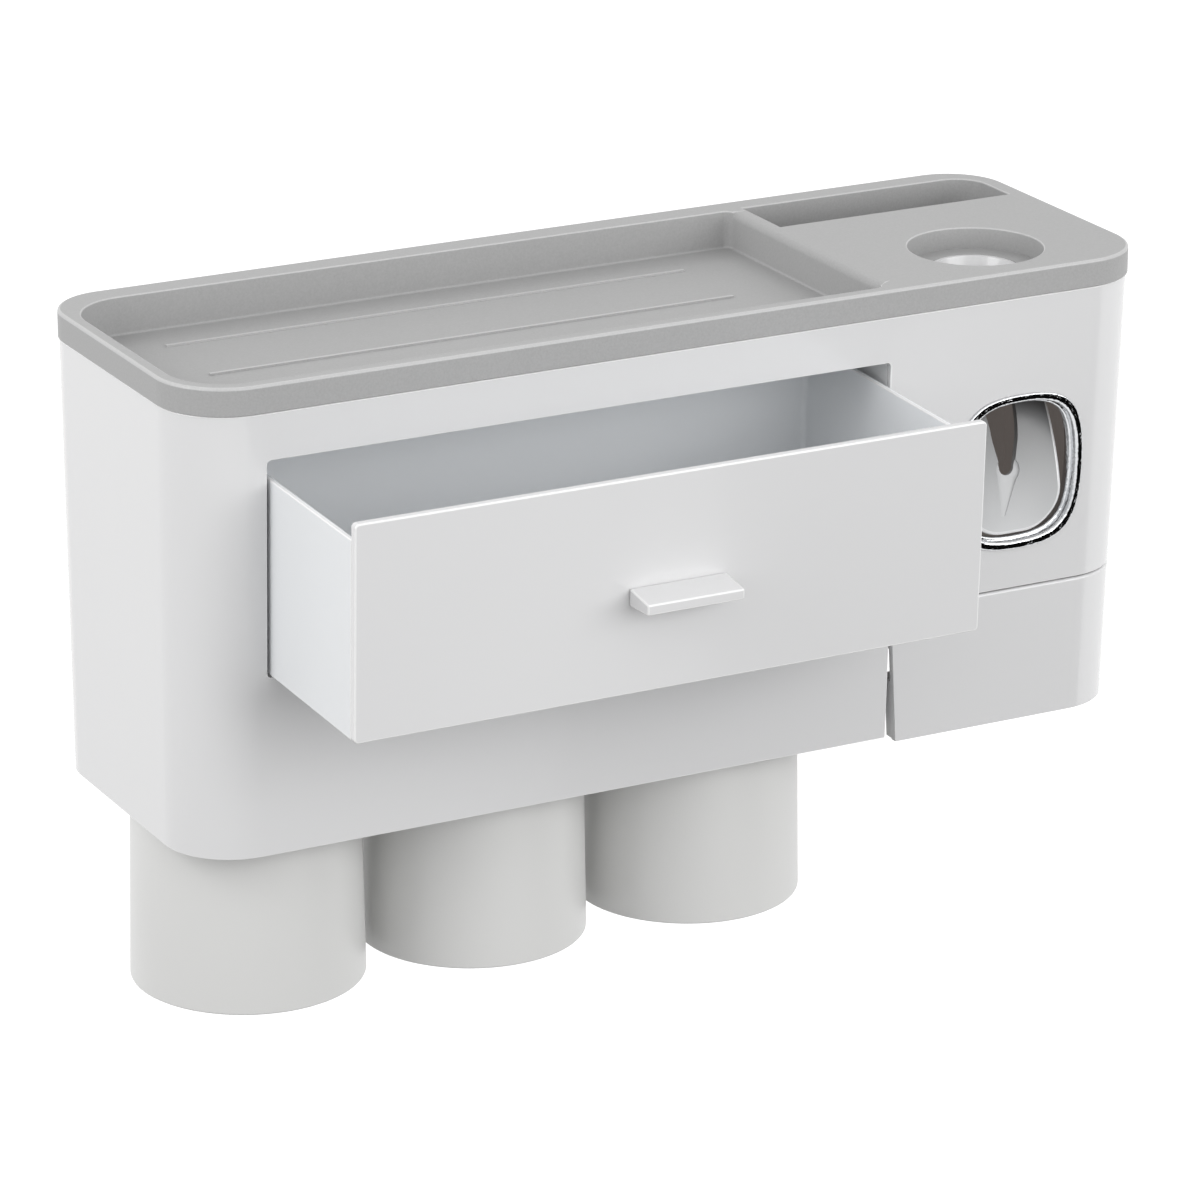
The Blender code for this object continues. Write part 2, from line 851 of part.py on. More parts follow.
case_top = level(case_top_drop)
case_bottom = level(case_bottom_drop)
pivot_z = level(window_drop) + pivot_rise
pivot_y = behind(pivot_z, pivot_depth)
socket_top = level(hole_depth) - ring_thickness - touch
socket_end = socket_top - socket_depth - socket_wall - socket_neck
pump_top = socket_end - touch
pump_bottom = pump_top - pump_height
foot_low = pivot_z - arm_drop + touch
foot_high = foot_low + foot_height


def dispenser_case():
    """The dark case behind the window. The lever, the pump and the brush rack hang in it and from it."""
    low, high = case_bottom, case_top
    reach = bay_start
    rear_y = behind(high, case_depth)
    outline = [(behind(low, reach), low), (rear_y, low), (rear_y, high), (behind(high, reach), high)]
    case_left, case_right = dispenser_x - case_half_width, dispenser_x + case_half_width
    case = prism("dispenser_case", outline, "X", case_left, case_right, DARK)
    low, high, rear_y = low + case_wall, high - case_wall, rear_y - case_wall
    reach -= overrun
    outline = [(behind(low, reach), low), (rear_y, low), (rear_y, high), (behind(high, reach), high)]
    inside = prism("case_inside", outline, "X", case_left + case_wall, case_right - case_wall)
    ends = [(x, pivot_y, pivot_z) for x in (case_left, case_right)]
    pin_hole = rod("pin_hole", lever_pin_radius + touch, *ends)
    socket_room = socket_neck_radius + touch
    socket_hole = upright("socket_hole", socket_room, hole_x, hole_y, pump_top, case_top + overrun)
    cut(case, inside, pin_hole, socket_hole)
    return case


def chrome_bezel():
    """The polished rim of the window. Its lip lies on the front wall and its sleeve goes through it."""
    proud = [(window_outline(bezel_proud / 2), -bezel_proud), (window_outline(0), -bezel_proud / 2)]
    proud.append((window_outline(0), -touch))
    sleeve = window_outline(bezel_lip + touch)
    mesh = bmesh.new()
    rings = proud + [(sleeve, -touch), (sleeve, bezel_depth)]
    rings += [(window_outline(bezel_width), bezel_depth), (window_outline(bezel_width), -bezel_proud / 2)]
    rings.append((window_outline(bezel_width - bezel_proud / 2), -bezel_proud))
    bridge(mesh, [[mesh.verts.new((x, y, z)) for x, z in outline] for outline, y in rings], closed=True)
    return solid("chrome_bezel", mesh, CHROME, face_frame)


def lever_half(rise):
    """Half the lever's width: straight above the window's middle, and rounded with the window below it."""
    if rise >= 0:
        return lever_half_width
    share = min(1, -rise / lever_lip_drop)
    return lever_half_width * (1 - share**window_power) ** (1 / window_power)


def push_lever():
    """The forked plate that a brush is pushed against. It rocks on its pin and lifts the pump's foot."""
    mesh = bmesh.new()
    last_row_share = 0.96
    sheets = []
    for side_depth in (0, lever_thickness):
        sheet = []
        for row in range(lever_rows + 1):
            share = row / lever_rows
            low = -lever_lip_drop * last_row_share
            rise = low + (lever_top_rise - low) * (1 - math.cos(math.pi * share / 2)) ** (1 / 2)
            along = (rise - low) / (lever_top_rise - low)
            depth = lever_lip_depth + (lever_top_depth - lever_lip_depth) * along**lever_curl
            half = lever_half(rise)
            z = level(window_drop) + rise
            line = []
            for column in range(lever_columns + 1):
                across = 2 * column / lever_columns - 1
                bowl = lever_dish * (1 - across**2) * (half / lever_half_width) * (1 - along)
                y = behind(z, depth + bowl + side_depth)
                line.append(mesh.verts.new((dispenser_x + half * across, y, z)))
            sheet.append(line)
        sheets.append(sheet)
    front_sheet, rear_sheet = sheets
    for sheet in sheets:
        for lower, upper in zip(sheet, sheet[1:]):
            for k in range(lever_columns):
                mesh.faces.new((lower[k], lower[k + 1], upper[k + 1], upper[k]))
    for near, far in ((front_sheet[0], rear_sheet[0]), (front_sheet[-1], rear_sheet[-1])):
        for k in range(lever_columns):
            mesh.faces.new((near[k], near[k + 1], far[k + 1], far[k]))
    for k in (0, -1):
        for row in range(lever_rows):
            upper = row + 1
            corners = (front_sheet[row][k], front_sheet[upper][k], rear_sheet[upper][k], rear_sheet[row][k])
            mesh.faces.new(corners)
    lever = carry(solid("push_lever", mesh, LEVER), (dispenser_x, pivot_y, pivot_z))
    foot = (dispenser_x, level(window_drop) - notch_drop + notch_foot_half)
    waist = level(window_drop) + notch_waist_rise
    notch_top = pivot_z - lever_hub_radius - touch
    outline = arc_points(foot, notch_foot_half, math.pi, 2 * math.pi)
    outline += [(dispenser_x + notch_waist_half, waist), (dispenser_x + notch_top_half, notch_top)]
    outline += [(dispenser_x - notch_top_half, notch_top), (dispenser_x - notch_waist_half, waist)]
    cut(lever, prism("notch", outline, "Y", face_y(shell_top), pivot_y))
    ends = [(dispenser_x + side * lever_half_width, pivot_y, pivot_z) for side in (-1, 1)]
    join(lever, rod("lever_hub", lever_hub_radius, *ends, steps=round_steps))
    arm_top = pivot_z - arm_drop
    arm = [
        (pivot_y - lever_hub_radius / 2, arm_top - arm_height),
        (pivot_y + arm_reach, arm_top - arm_height / 2),
        (pivot_y + arm_reach, arm_top),
        (pivot_y + lever_hub_radius, arm_top),
        (pivot_y + lever_hub_radius / 2, pivot_z - lever_hub_radius / 2),
        (pivot_y - lever_hub_radius / 2, pivot_z - lever_hub_radius / 2),
    ]
    join(lever, prism("lever_arm", arm, "X", dispenser_x - arm_half_width, dispenser_x + arm_half_width))
    ends = [(dispenser_x + side * case_half_width, pivot_y, pivot_z) for side in (-1, 1)]
    cut(lever, rod("pin_bore", lever_pin_radius + touch, *ends))
    ends = [(dispenser_x + side * (case_half_width - touch), pivot_y, pivot_z) for side in (-1, 1)]
    rod("lever_pin", lever_pin_radius, *ends, STEEL)


def pump():
    """The pump body under the tube socket, its piston, the spring round the stem and the nozzle."""
    xs = (hole_x - pump_half_width, hole_x + pump_half_width)
    ys = (hole_y - pump_front_reach, hole_y + pump_rear_reach)
    body = block("pump_body", xs, ys, (pump_bottom, pump_top), WHITE)
    soften(body, paste_bore_radius / 2)
    chamber_top = pump_top - pump_height / 3
    below, above = pump_bottom - overrun, pump_top + overrun
    chamber = upright("pump_chamber", stem_radius + touch, hole_x, hole_y, below, chamber_top)
    inlet_low = chamber_top - bite
    inlet = upright("paste_inlet", paste_bore_radius, hole_x, hole_y, inlet_low, above)
    nozzle_y = hole_y - nozzle_reach
    channel_z = chamber_top - 2 * nozzle_bore_radius
    ends = [(hole_x, y, channel_z) for y in (hole_y, nozzle_y)]
    channel = rod("paste_channel", nozzle_bore_radius, *ends)
    outlet = upright("paste_outlet", nozzle_bore_radius, hole_x, nozzle_y, channel_z, below)
    cut(body, chamber, inlet, channel, outlet)
    nozzle_profile = [
        (nozzle_bore_radius, 0),
        (nozzle_tip_radius, 0),
        (nozzle_radius, nozzle_length),
        (nozzle_bore_radius, nozzle_length),
    ]
    nozzle_low = pump_bottom - touch - nozzle_length
    turned("nozzle", nozzle_profile, SILICONE, at(hole_x, nozzle_y, nozzle_low), small_steps)
    piston = [(0, 0), (foot_radius, 0), (foot_radius, foot_height), (stem_radius, foot_height)]
    piston += [(stem_radius, foot_height + stem_height), (0, foot_height + stem_height)]
    turned("pump_piston", piston, WHITE, at(hole_x, hole_y, foot_low), small_steps)
    return_spring()


def return_spring():
    """The coil spring between the pump body and the piston's foot."""
    low, high = foot_high + spring_wire_radius + touch, pump_bottom - spring_wire_radius - touch
    curve = bpy.data.curves.new("return_spring", "CURVE")
    curve.dimensions = "3D"
    curve.bevel_depth = spring_wire_radius
    curve.bevel_resolution = 1
    curve.use_fill_caps = True
    steps = round(spring_turns * small_steps)
    line = curve.splines.new("POLY")
    line.points.add(steps)
    for step, point in enumerate(line.points):
        turn = 2 * math.pi * step / small_steps
        height = low + (high - low) * step / steps
        point.co = (spring_radius * math.cos(turn), spring_radius * math.sin(turn), height, 1)
    curve.materials.append(plastic("return_spring", *STEEL))
    spring = bpy.data.objects.new("return_spring", curve)
    spring.location = (hole_x, hole_y, 0)
    bpy.context.scene.collection.objects.link(spring)


def tube_socket():
    """The white socket that the paste tube is pressed into, through the tray's hole, and its soft seal."""
    rim_radius = ring_inner_radius - touch
    rim_height = touch + ring_thickness
    bowl_radius = rim_radius - socket_rim_wall
    bowl_low = -socket_depth
    under = bowl_low - socket_wall
    end = under - socket_neck
    profile = [
        (socket_flange_radius, 0),
        (socket_flange_radius, -socket_flange),
        (bowl_radius + socket_wall, -socket_flange),
        (socket_neck_radius, under),
        (socket_neck_radius, end),
        (socket_bore_radius, end),
        (socket_bore_radius, bowl_low),
        (bowl_radius, rim_height),
        (rim_radius, rim_height),
        (rim_radius, 0),
    ]
    turned("tube_socket", profile, WHITE, at(hole_x, hole_y, socket_top))
    outer = socket_bore_radius - touch
    profile = [(seal_bore_radius, 0), (outer, 0), (outer, seal_height), (seal_bore_radius, seal_height)]
    turned("socket_seal", profile, SILICONE, at(hole_x, hole_y, socket_end), steps=small_steps)


# Brush rack and dust cover
hinge_z = cover_top - hinge_drop
hinge_y = behind(hinge_z, hinge_setback)
cover_arc = front + cover_reach - hinge_y
lug_left = cover_left + cover_lug_inset
rack_left = lug_left + cover_lug + hinge_clearance
leg_front = hinge_y + hinge_drop + cheek_clearance
leg_rear = rear - comb_rear
rack_top = case_bottom - touch
comb_top = level(comb_drop)
comb_bottom = comb_top - rack_plate


def cover_edge(z):
    """The cover's left edge, upright at first and then drawn away from the housing's wall."""
    fall = max(0, level(slot_straight_drop) - z)
    return cover_left + slot_spread * fall / (level(slot_straight_drop) - shell_bottom)


def cover_rear(z):
    """How far back the cover's side reaches. Above the hinge its edge is an arc about it, to swing freely."""
    rise = max(0, z - hinge_z)
    return hinge_y + math.sqrt(cover_arc**2 - rise**2)


def cover_section(z, rounding):
    """The cover's plan at a height: along the front, round the corner and back along the right side."""
    points = []
    for inset in (rounding, cover_wall):
        radius = front_corner - inset
        cx, cy = side_x(z) - front_corner, face_y(z) + front_corner
        path = [(cover_edge(z), face_y(z) + inset)]
        for step in range(corner_steps + 1):
            turn = math.pi / 2 * (step / corner_steps - 1)
            path.append((cx + radius * math.cos(turn), cy + radius * math.sin(turn)))
        path.append((side_x(z) - inset, cover_rear(z)))
        points += path if inset == rounding else path[::-1]
    return points


def dust_cover():
    """The front that swings up over the brushes, on two lugs inside its top edge."""
    foot = shell_bottom - cover_foot
    heights = [foot, level(slot_straight_drop), hinge_z]
    arc_rise = cover_top - cover_edge_round - hinge_z
    heights += [hinge_z + arc_rise * step / corner_steps for step in range(1, corner_steps)]
    sections = [(cover_section(z, 0), z) for z in sorted(heights)]
    round_parts = 3
    for step in range(round_parts + 1):
        turn = math.pi / 2 * step / round_parts
        rounding = cover_edge_round * (1 - math.cos(turn))
        z = cover_top - cover_edge_round * (1 - math.sin(turn))
        sections.append((cover_section(z, rounding), z))
    cover = carry(loft("dust_cover", sections, WHITE), (lug_left, hinge_y, hinge_z))
    wall_y = hinge_y - hinge_setback + cover_wall - bite
    outline = arc_points((hinge_y, hinge_z), hinge_boss_radius, -math.pi / 2, math.pi / 2)
    outline += [(wall_y, hinge_z + hinge_boss_radius), (wall_y, hinge_z - hinge_boss_radius)]
    rack_edge = rack_right + hinge_clearance
    for start in (lug_left, rack_edge):
        lug = prism("cover_lug", outline, "X", start, start + cover_lug)
        ends = [(x, hinge_y, hinge_z) for x in (start - overrun, start + cover_lug + overrun)]
        cut(lug, rod("lug_bore", hinge_pin_radius + hinge_clearance, *ends))
        join(cover, lug)
    pins = ((lug_left, rack_left + rack_cheek), (rack_right - rack_cheek, rack_edge + cover_lug))
    for i, pin in enumerate(pins):
        ends = [(x, hinge_y, hinge_z) for x in pin]
        rod(f"hinge_pin_{i + 1}", hinge_pin_radius, *ends, STEEL)
    return cover


def brush_rack():
    """The rack under the dispenser's case: a top plate, two cheeks with an arm to the hinge, and a comb."""
    xs = (rack_left, rack_right)
    leg_ys = (leg_front, front + rack_top_reach)
    rack = block("brush_rack", xs, leg_ys, (rack_top - rack_plate, rack_top), WHITE)
    arm = arm_thickness / 2
    outline = arc_points((hinge_y, hinge_z), arm, math.pi / 2, 3 * math.pi / 2)
    outline += [(leg_front, hinge_z - arm), (leg_front, comb_bottom), (leg_rear, comb_bottom)]
    outline += [(leg_rear, rack_top - rack_plate / 2), (leg_front, rack_top - rack_plate / 2)]
    outline += [(leg_front, hinge_z + arm)]
    for start in (rack_left, rack_right - rack_cheek):
        join(rack, prism("rack_cheek", outline, "X", start, start + rack_cheek))
    comb_front = behind(comb_top, cover_wall + comb_front_gap)
    comb = block("comb_plate", xs, (comb_front, leg_rear), (comb_bottom, comb_top))
    pitch = (rack_right - rack_left - 2 * rack_cheek) / brush_slots
    half = brush_slot_width / 2
    for i in range(brush_slots):
        x = rack_left + rack_cheek + pitch * (i + 0.5)
        low, high = comb_front - overrun, comb_front + brush_slot_depth
        corners = [touch] * 2 + [half * full_round_share] * 2
        outline = rounded(x - half, x + half, low, high, corners)
        cut(comb, prism("brush_slot", outline, "Z", comb_bottom - overrun, comb_top + overrun))
    join(rack, comb)
    ends = [(x, hinge_y, hinge_z) for x in (rack_left - overrun, rack_right + overrun)]
    cut(rack, rod("hinge_bore", hinge_pin_radius + touch, *ends))
    return rack


def rack_screws(case, rack):
    """Two screws hold the rack's top plate under the case."""
    y = (leg_rear + front + rack_top_reach) / 2
    head_top = rack_top - rack_plate - touch
    length = case_wall + rack_plate
    for i, side in enumerate((-1, 1)):
        x = dispenser_x + side * rack_screw_spacing / 2
        profile = [
            (0, length),
            (screw_shank_radius, length),
            (screw_shank_radius, 0),
            (screw_head_radius, 0),
            (screw_head_radius, -screw_head_height),
            (0, -screw_head_height),
        ]
        turned(f"rack_screw_{i + 1}", profile, STEEL, at(x, y, head_top), small_steps)
        start, end = (x, y, head_top - overrun), (x, y, case_bottom + case_wall + overrun)
        hole = rod("rack_screw_hole", screw_shank_radius + touch, start, end)
        cut(case, hole)
        cut(rack, hole)


wall_mount()
back_screws(housing(), back_panel())
partition()
cup_deck()
cups()
drawer()
drawer_bay()
top_tray()
chrome_bezel()
push_lever()
pump()
tube_socket()
dust_cover()
rack_screws(dispenser_case(), brush_rack())
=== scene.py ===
# %% [markdown]
# # A wall-hung toothbrush holder, dressed in Blender
# The imported CAD model comes in as a fixed frame: every body, joint and hidden part is already where it belongs.
# This file gives the holder its looks. Shells that show are modelled afresh, with the small rounded edges that
# catch the light and a brighter finish on them that paints a highlight, and what stays as it is gets a finish.

import math

import bmesh
import bpy
from mathutils import Matrix, Vector


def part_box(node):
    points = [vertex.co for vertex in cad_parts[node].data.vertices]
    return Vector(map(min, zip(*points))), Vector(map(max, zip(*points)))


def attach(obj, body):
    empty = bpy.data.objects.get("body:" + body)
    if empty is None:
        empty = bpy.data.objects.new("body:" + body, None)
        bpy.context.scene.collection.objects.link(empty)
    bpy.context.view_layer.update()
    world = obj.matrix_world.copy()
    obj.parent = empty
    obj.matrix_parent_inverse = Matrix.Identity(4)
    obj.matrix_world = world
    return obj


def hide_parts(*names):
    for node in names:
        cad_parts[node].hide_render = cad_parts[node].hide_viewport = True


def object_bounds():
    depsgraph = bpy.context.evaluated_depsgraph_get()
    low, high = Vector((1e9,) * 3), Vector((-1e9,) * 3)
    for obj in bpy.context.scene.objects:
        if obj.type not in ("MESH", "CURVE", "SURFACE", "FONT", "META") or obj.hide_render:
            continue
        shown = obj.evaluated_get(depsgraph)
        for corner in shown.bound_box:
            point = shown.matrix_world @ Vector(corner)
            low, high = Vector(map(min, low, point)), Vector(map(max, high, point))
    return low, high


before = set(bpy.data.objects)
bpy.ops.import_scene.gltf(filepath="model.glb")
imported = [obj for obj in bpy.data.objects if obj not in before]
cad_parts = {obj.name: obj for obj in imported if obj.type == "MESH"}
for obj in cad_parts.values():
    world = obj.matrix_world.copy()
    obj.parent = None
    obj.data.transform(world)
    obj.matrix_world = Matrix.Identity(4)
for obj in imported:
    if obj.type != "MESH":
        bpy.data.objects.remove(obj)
frame_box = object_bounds()
print("frame box, mm:", [[round(1000 * length, 1) for length in end] for end in frame_box])

# %% [markdown]
# ## The camera
# The picture that this holder is matched to was taken from the left and a little above, with a long lens. A long
# lens keeps upright lines almost parallel, as product pictures want. The place, aim and focal length were worked
# out from the straight edges of the tray and the drawer.

# %% Camera
camera_place = Vector((-0.7985, -1.5498, 0.5513))
camera_aim = Vector((-0.00808, -0.07001, -0.04905))
camera_roll = math.radians(0.29)
lens_length = 167.14
sensor_width = 36

bpy.ops.object.camera_add(location=camera_place)
camera = bpy.context.object
camera.name = "camera"
camera.rotation_mode = "QUATERNION"
looking = (camera_aim - camera_place).to_track_quat("-Z", "Y").to_matrix() @ Matrix.Rotation(camera_roll, 3, "Z")
camera.rotation_quaternion = looking.to_quaternion()
camera.data.lens = lens_length
camera.data.sensor_width = sensor_width
bpy.context.scene.camera = camera
bpy.context.scene.view_settings.view_transform = "Standard"
print("camera distance, m:", round((camera_aim - camera_place).length, 3))

# %% [markdown]
# ## The stage
# The holder hangs on a wall, so the floor lies well below it. A white plane is enough, but to show white in the
# picture it would need more light than the white plastic can take. So the floor and the world are white only for
# the rays that come straight from the camera, a mirror or a glass, and the lamps stay at a plain level.

# %% Floor and world
floor_drop = 0.62
floor_size = 14
floor_lift = 0.95
sky_light = 0.82


def seen_directly(nodes, links):
    """A value that is 1 for camera, mirror and glass rays and 0 for the light that falls on things."""
    path = nodes.new("ShaderNodeLightPath")
    total = path.outputs["Is Camera Ray"]
    for other in ("Is Glossy Ray", "Is Transmission Ray"):
        both = nodes.new("ShaderNodeMath")
        both.operation = "MAXIMUM"
        links.new(total, both.inputs[0])
        links.new(path.outputs[other], both.inputs[1])
        total = both.outputs[0]
    return total


bpy.ops.mesh.primitive_plane_add(size=floor_size, location=(0, 0, frame_box[0].z - floor_drop))
floor = bpy.context.object
floor.name = "floor"
floor_white = bpy.data.materials.new("floor_white")
floor_white.use_nodes = True
nodes, links = floor_white.node_tree.nodes, floor_white.node_tree.links
shader = nodes["Principled BSDF"]
shader.inputs["Base Color"].default_value = (0.25, 0.25, 0.25, 1)
shader.inputs["Roughness"].default_value = 0.9
shader.inputs["Emission Color"].default_value = (1, 1, 1, 1)
lift = nodes.new("ShaderNodeMath")
lift.operation = "MULTIPLY"
lift.inputs[1].default_value = floor_lift
links.new(seen_directly(nodes, links), lift.inputs[0])
links.new(lift.outputs[0], shader.inputs["Emission Strength"])
floor.data.materials.append(floor_white)

world = bpy.data.worlds.new("studio")
bpy.context.scene.world = world
world.use_nodes = True
nodes, links = world.node_tree.nodes, world.node_tree.links
background = nodes["Background"]
background.inputs["Color"].default_value = (1, 1, 1, 1)
strength = nodes.new("ShaderNodeMapRange")
strength.inputs["To Min"].default_value = sky_light
strength.inputs["To Max"].default_value = 1
links.new(seen_directly(nodes, links), strength.inputs["Value"])
links.new(strength.outputs["Result"], background.inputs["Strength"])

# %% [markdown]
# ## The lamps
# A soft box at the left keeps the left end of the holder its brightest side. A wider one stands before the front,
# a little to the right, and a strip behind gives the thin bright lines along the tray's rear edges. The white world
# gives the rest, so shadows stay pale.

# %% Lamps


def soft_box(name, place, size, power):
    """A flat lamp that faces the holder."""
    turn = (camera_aim - Vector(place)).to_track_quat("-Z", "Y").to_euler()
    bpy.ops.object.light_add(type="AREA", location=place, rotation=turn)
    lamp = bpy.context.object
    lamp.name = name
    lamp.data.shape = "RECTANGLE"
    lamp.data.size, lamp.data.size_y = size
    lamp.data.energy = power
    return lamp


left_box = soft_box("left_box", (-1.02, -0.13, 0.42), size=(0.7, 0.7), power=4.6)
soft_box("front_box", (0.48, -1.14, 0.34), size=(1.5, 0.6), power=7.6)
soft_box("rear_strip", (0.5, 1.1, 1.3), size=(1.6, 0.5), power=3)

# %% [markdown]
# ## Plastic that isn't flat
# Moulded plastic is never one even colour. A gloss face has a slight swell, like orange peel, and a matte one has
# the fine grain that was sparked into its mould. Both also vary a little in tone and shine where the plastic flowed.
# These effects are shader groups, built once, so that each finish only says how much of each it has.

# %% Surface groups


def group(name, inputs, outputs):
    """An empty shader group with named number sockets."""
    made = bpy.data.node_groups.new(name, "ShaderNodeTree")
    for label, value in inputs:
        made.interface.new_socket(label, in_out="INPUT", socket_type="NodeSocketFloat").default_value = value
    for label in outputs:
        made.interface.new_socket(label, in_out="OUTPUT", socket_type="NodeSocketFloat")
    return made, made.nodes.new("NodeGroupInput"), made.nodes.new("NodeGroupOutput")


def number(tree, operation, first, second):
    """A Math node. Each of its two inputs is another node's output or a plain number."""
    node = tree.nodes.new("ShaderNodeMath")
    node.operation = operation
    for socket, given in zip(node.inputs, (first, second)):
        if isinstance(given, (int, float)):
            socket.default_value = given
        else:
            tree.links.new(given, socket)
    return node.outputs[0]


def noise(tree, place, scale, detail):
    """A noise texture's value. The scale is a plain number or another node's output."""
    node = tree.nodes.new("ShaderNodeTexNoise")
    tree.links.new(place, node.inputs["Vector"])
    if isinstance(scale, (int, float)):
        node.inputs["Scale"].default_value = scale
    else:
        tree.links.new(scale, node.inputs["Scale"])
    node.inputs["Detail"].default_value = detail
    return node.outputs["Fac"]


grain_octaves = 3
swell_scale = 90
swell_octaves = 1
patch_scale = 14
patch_octaves = 2

moulded, entry, exit_node = group(
    "moulded_surface", (("Grain Scale", 1800), ("Grain", 0.5), ("Swell", 0.5)), ("Height", "Patch", "Fine")
)
place = moulded.nodes.new("ShaderNodeTexCoord").outputs["Object"]
grain = noise(moulded, place, entry.outputs["Grain Scale"], grain_octaves)
swell = noise(moulded, place, swell_scale, swell_octaves)
height = number(
    moulded,
    "ADD",
    number(moulded, "MULTIPLY", grain, entry.outputs["Grain"]),
    number(moulded, "MULTIPLY", swell, entry.outputs["Swell"]),
)
moulded.links.new(height, exit_node.inputs["Height"])
moulded.links.new(noise(moulded, place, patch_scale, patch_octaves), exit_node.inputs["Patch"])
moulded.links.new(grain, exit_node.inputs["Fine"])
print("group made:", moulded.name)

# %% [markdown]
# ## The finishes
# Each finish is one Principled shader. Its colour drifts by a hair between two tones and its roughness follows the
# fine grain, and the bump's height comes from the shared group. Heights are in metres: a few hundredths of a
# millimetre for plastic, and several times that for the uneven chrome and for foam. Rounded edges get a brighter
# copy of their finish, which is a painted highlight. The dark case gets a weak glow, since little light finds its way
# in.

# %% Finish builder
plastic_bump = 0.00003


def finish(name, tone, other_tone, rough, spread, grain, bump=plastic_bump, metal=0.0, coat=0.0, speckle=0.0):
    """A moulded or metal finish. Tones are linear colours, rough is the middle roughness and spread its play.
    Speckle is how far the tone follows the fine grain and not only the broad patches."""
    material = bpy.data.materials.new(name)
    material.use_nodes = True
    tree = material.node_tree
    shader = tree.nodes["Principled BSDF"]
    surface = tree.nodes.new("ShaderNodeGroup")
    surface.node_tree = moulded
    for label, value in zip(("Grain Scale", "Grain", "Swell"), grain):
        surface.inputs[label].default_value = value
    mix = tree.nodes.new("ShaderNodeMix")
    mix.data_type = "RGBA"
    mix.inputs["A"].default_value = (*tone, 1)
    mix.inputs["B"].default_value = (*other_tone, 1)
    broad = number(tree, "MULTIPLY", surface.outputs["Patch"], 1 - speckle)
    fine = number(tree, "MULTIPLY", surface.outputs["Fine"], speckle)
    tree.links.new(number(tree, "ADD", broad, fine), mix.inputs["Factor"])
    tree.links.new(mix.outputs["Result"], shader.inputs["Base Color"])
    play = number(tree, "MULTIPLY", surface.outputs["Fine"], spread)
    tree.links.new(number(tree, "ADD", play, rough - spread / 2), shader.inputs["Roughness"])
    bumps = tree.nodes.new("ShaderNodeBump")
    bumps.inputs["Distance"].default_value = bump
    tree.links.new(surface.outputs["Height"], bumps.inputs["Height"])
    tree.links.new(bumps.outputs["Normal"], shader.inputs["Normal"])
    shader.inputs["Metallic"].default_value = metal
    shader.inputs["Coat Weight"].default_value = coat
    shader.inputs["Coat Roughness"].default_value = rough / 3
    return material


def paint_height_light_and_shade(material, low, low_share, high, high_share):
    """Paints light and shade into a finish's colour by height: a share of it at one level, another share at a second.
    """
    tree = material.node_tree
    colour = tree.nodes["Principled BSDF"].inputs["Base Color"]
    split = tree.nodes.new("ShaderNodeSeparateXYZ")
    tree.links.new(tree.nodes.new("ShaderNodeTexCoord").outputs["Object"], split.inputs[0])
    share = tree.nodes.new("ShaderNodeMapRange")
    for label, value in zip(("From Min", "From Max", "To Min", "To Max"), (low, high, low_share, high_share)):
        share.inputs[label].default_value = value
    tree.links.new(split.outputs["Z"], share.inputs["Value"])
    scaled = tree.nodes.new("ShaderNodeVectorMath")
    scaled.operation = "SCALE"
    tree.links.new(colour.links[0].from_socket, scaled.inputs[0])
    tree.links.new(share.outputs["Result"], scaled.inputs["Scale"])
    tree.links.new(scaled.outputs["Vector"], colour)


# %% [markdown]
# Each grain is a scale, the share of fine grain and the share of broad swell.

# %% The finishes
spark_bump = 0.00006
foam_bump = 0.0002
chrome_bump = 0.00030
case_glow = (0.084, 0.074, 0.069, 1)
case_glow_strength = 0.8
gloss_grain = (1500, 0.1, 0.9)
even_grain = (1500, 0.5, 0.5)
cup_grain = (1600, 0.6, 0.4)
spark_grain = (1500, 0.9, 0.1)
case_grain = (1500, 0.8, 0.2)
lever_grain = (1500, 0.3, 0.7)
chrome_grain = (650, 0.8, 0.2)
steel_grain = (2500, 0.8, 0.2)
soft_grain = (1200, 0.6, 0.4)
foam_grain = (900, 1.0, 0.0)

gloss_white = finish("gloss_white", (0.70, 0.70, 0.705), (0.72, 0.72, 0.725), 0.20, 0.04, gloss_grain, coat=0.3)
# The next finish is the gloss white made brighter: a painted highlight for rounded edges.
gloss_highlight = finish("gloss_white_highlight", (0.84, 0.84, 0.84), (0.86, 0.86, 0.86), 0.14, 0.04, gloss_grain, coat=0.3)
inner_white = finish("inner_white", (0.76, 0.765, 0.77), (0.79, 0.795, 0.80), 0.38, 0.08, even_grain)
drawer_white = finish("drawer_white", (0.77, 0.785, 0.80), (0.79, 0.805, 0.82), 0.34, 0.08, even_grain)
cup_white = finish("cup_white", (0.70, 0.70, 0.69), (0.73, 0.73, 0.72), 0.36, 0.08, cup_grain)
tray_grey = finish(
    "tray_grey", (0.315, 0.315, 0.315), (0.425, 0.425, 0.425), 0.48, 0.12, spark_grain, spark_bump, speckle=0.85
)
# The next finish is the tray grey made brighter and shinier: a painted highlight for its rounded edges and ribs.
tray_highlight = finish(
    "tray_grey_highlight", (0.44, 0.44, 0.44), (0.56, 0.56, 0.56), 0.34, 0.10, spark_grain, spark_bump, speckle=0.85
)
case_dark = finish("case_dark", (0.19, 0.176, 0.168), (0.23, 0.214, 0.205), 0.40, 0.10, case_grain)
case_shader = case_dark.node_tree.nodes["Principled BSDF"]
case_shader.inputs["Emission Color"].default_value = case_glow
case_shader.inputs["Emission Strength"].default_value = case_glow_strength
lever_grey = finish("lever_grey", (0.45, 0.455, 0.46), (0.49, 0.495, 0.50), 0.36, 0.06, lever_grain)
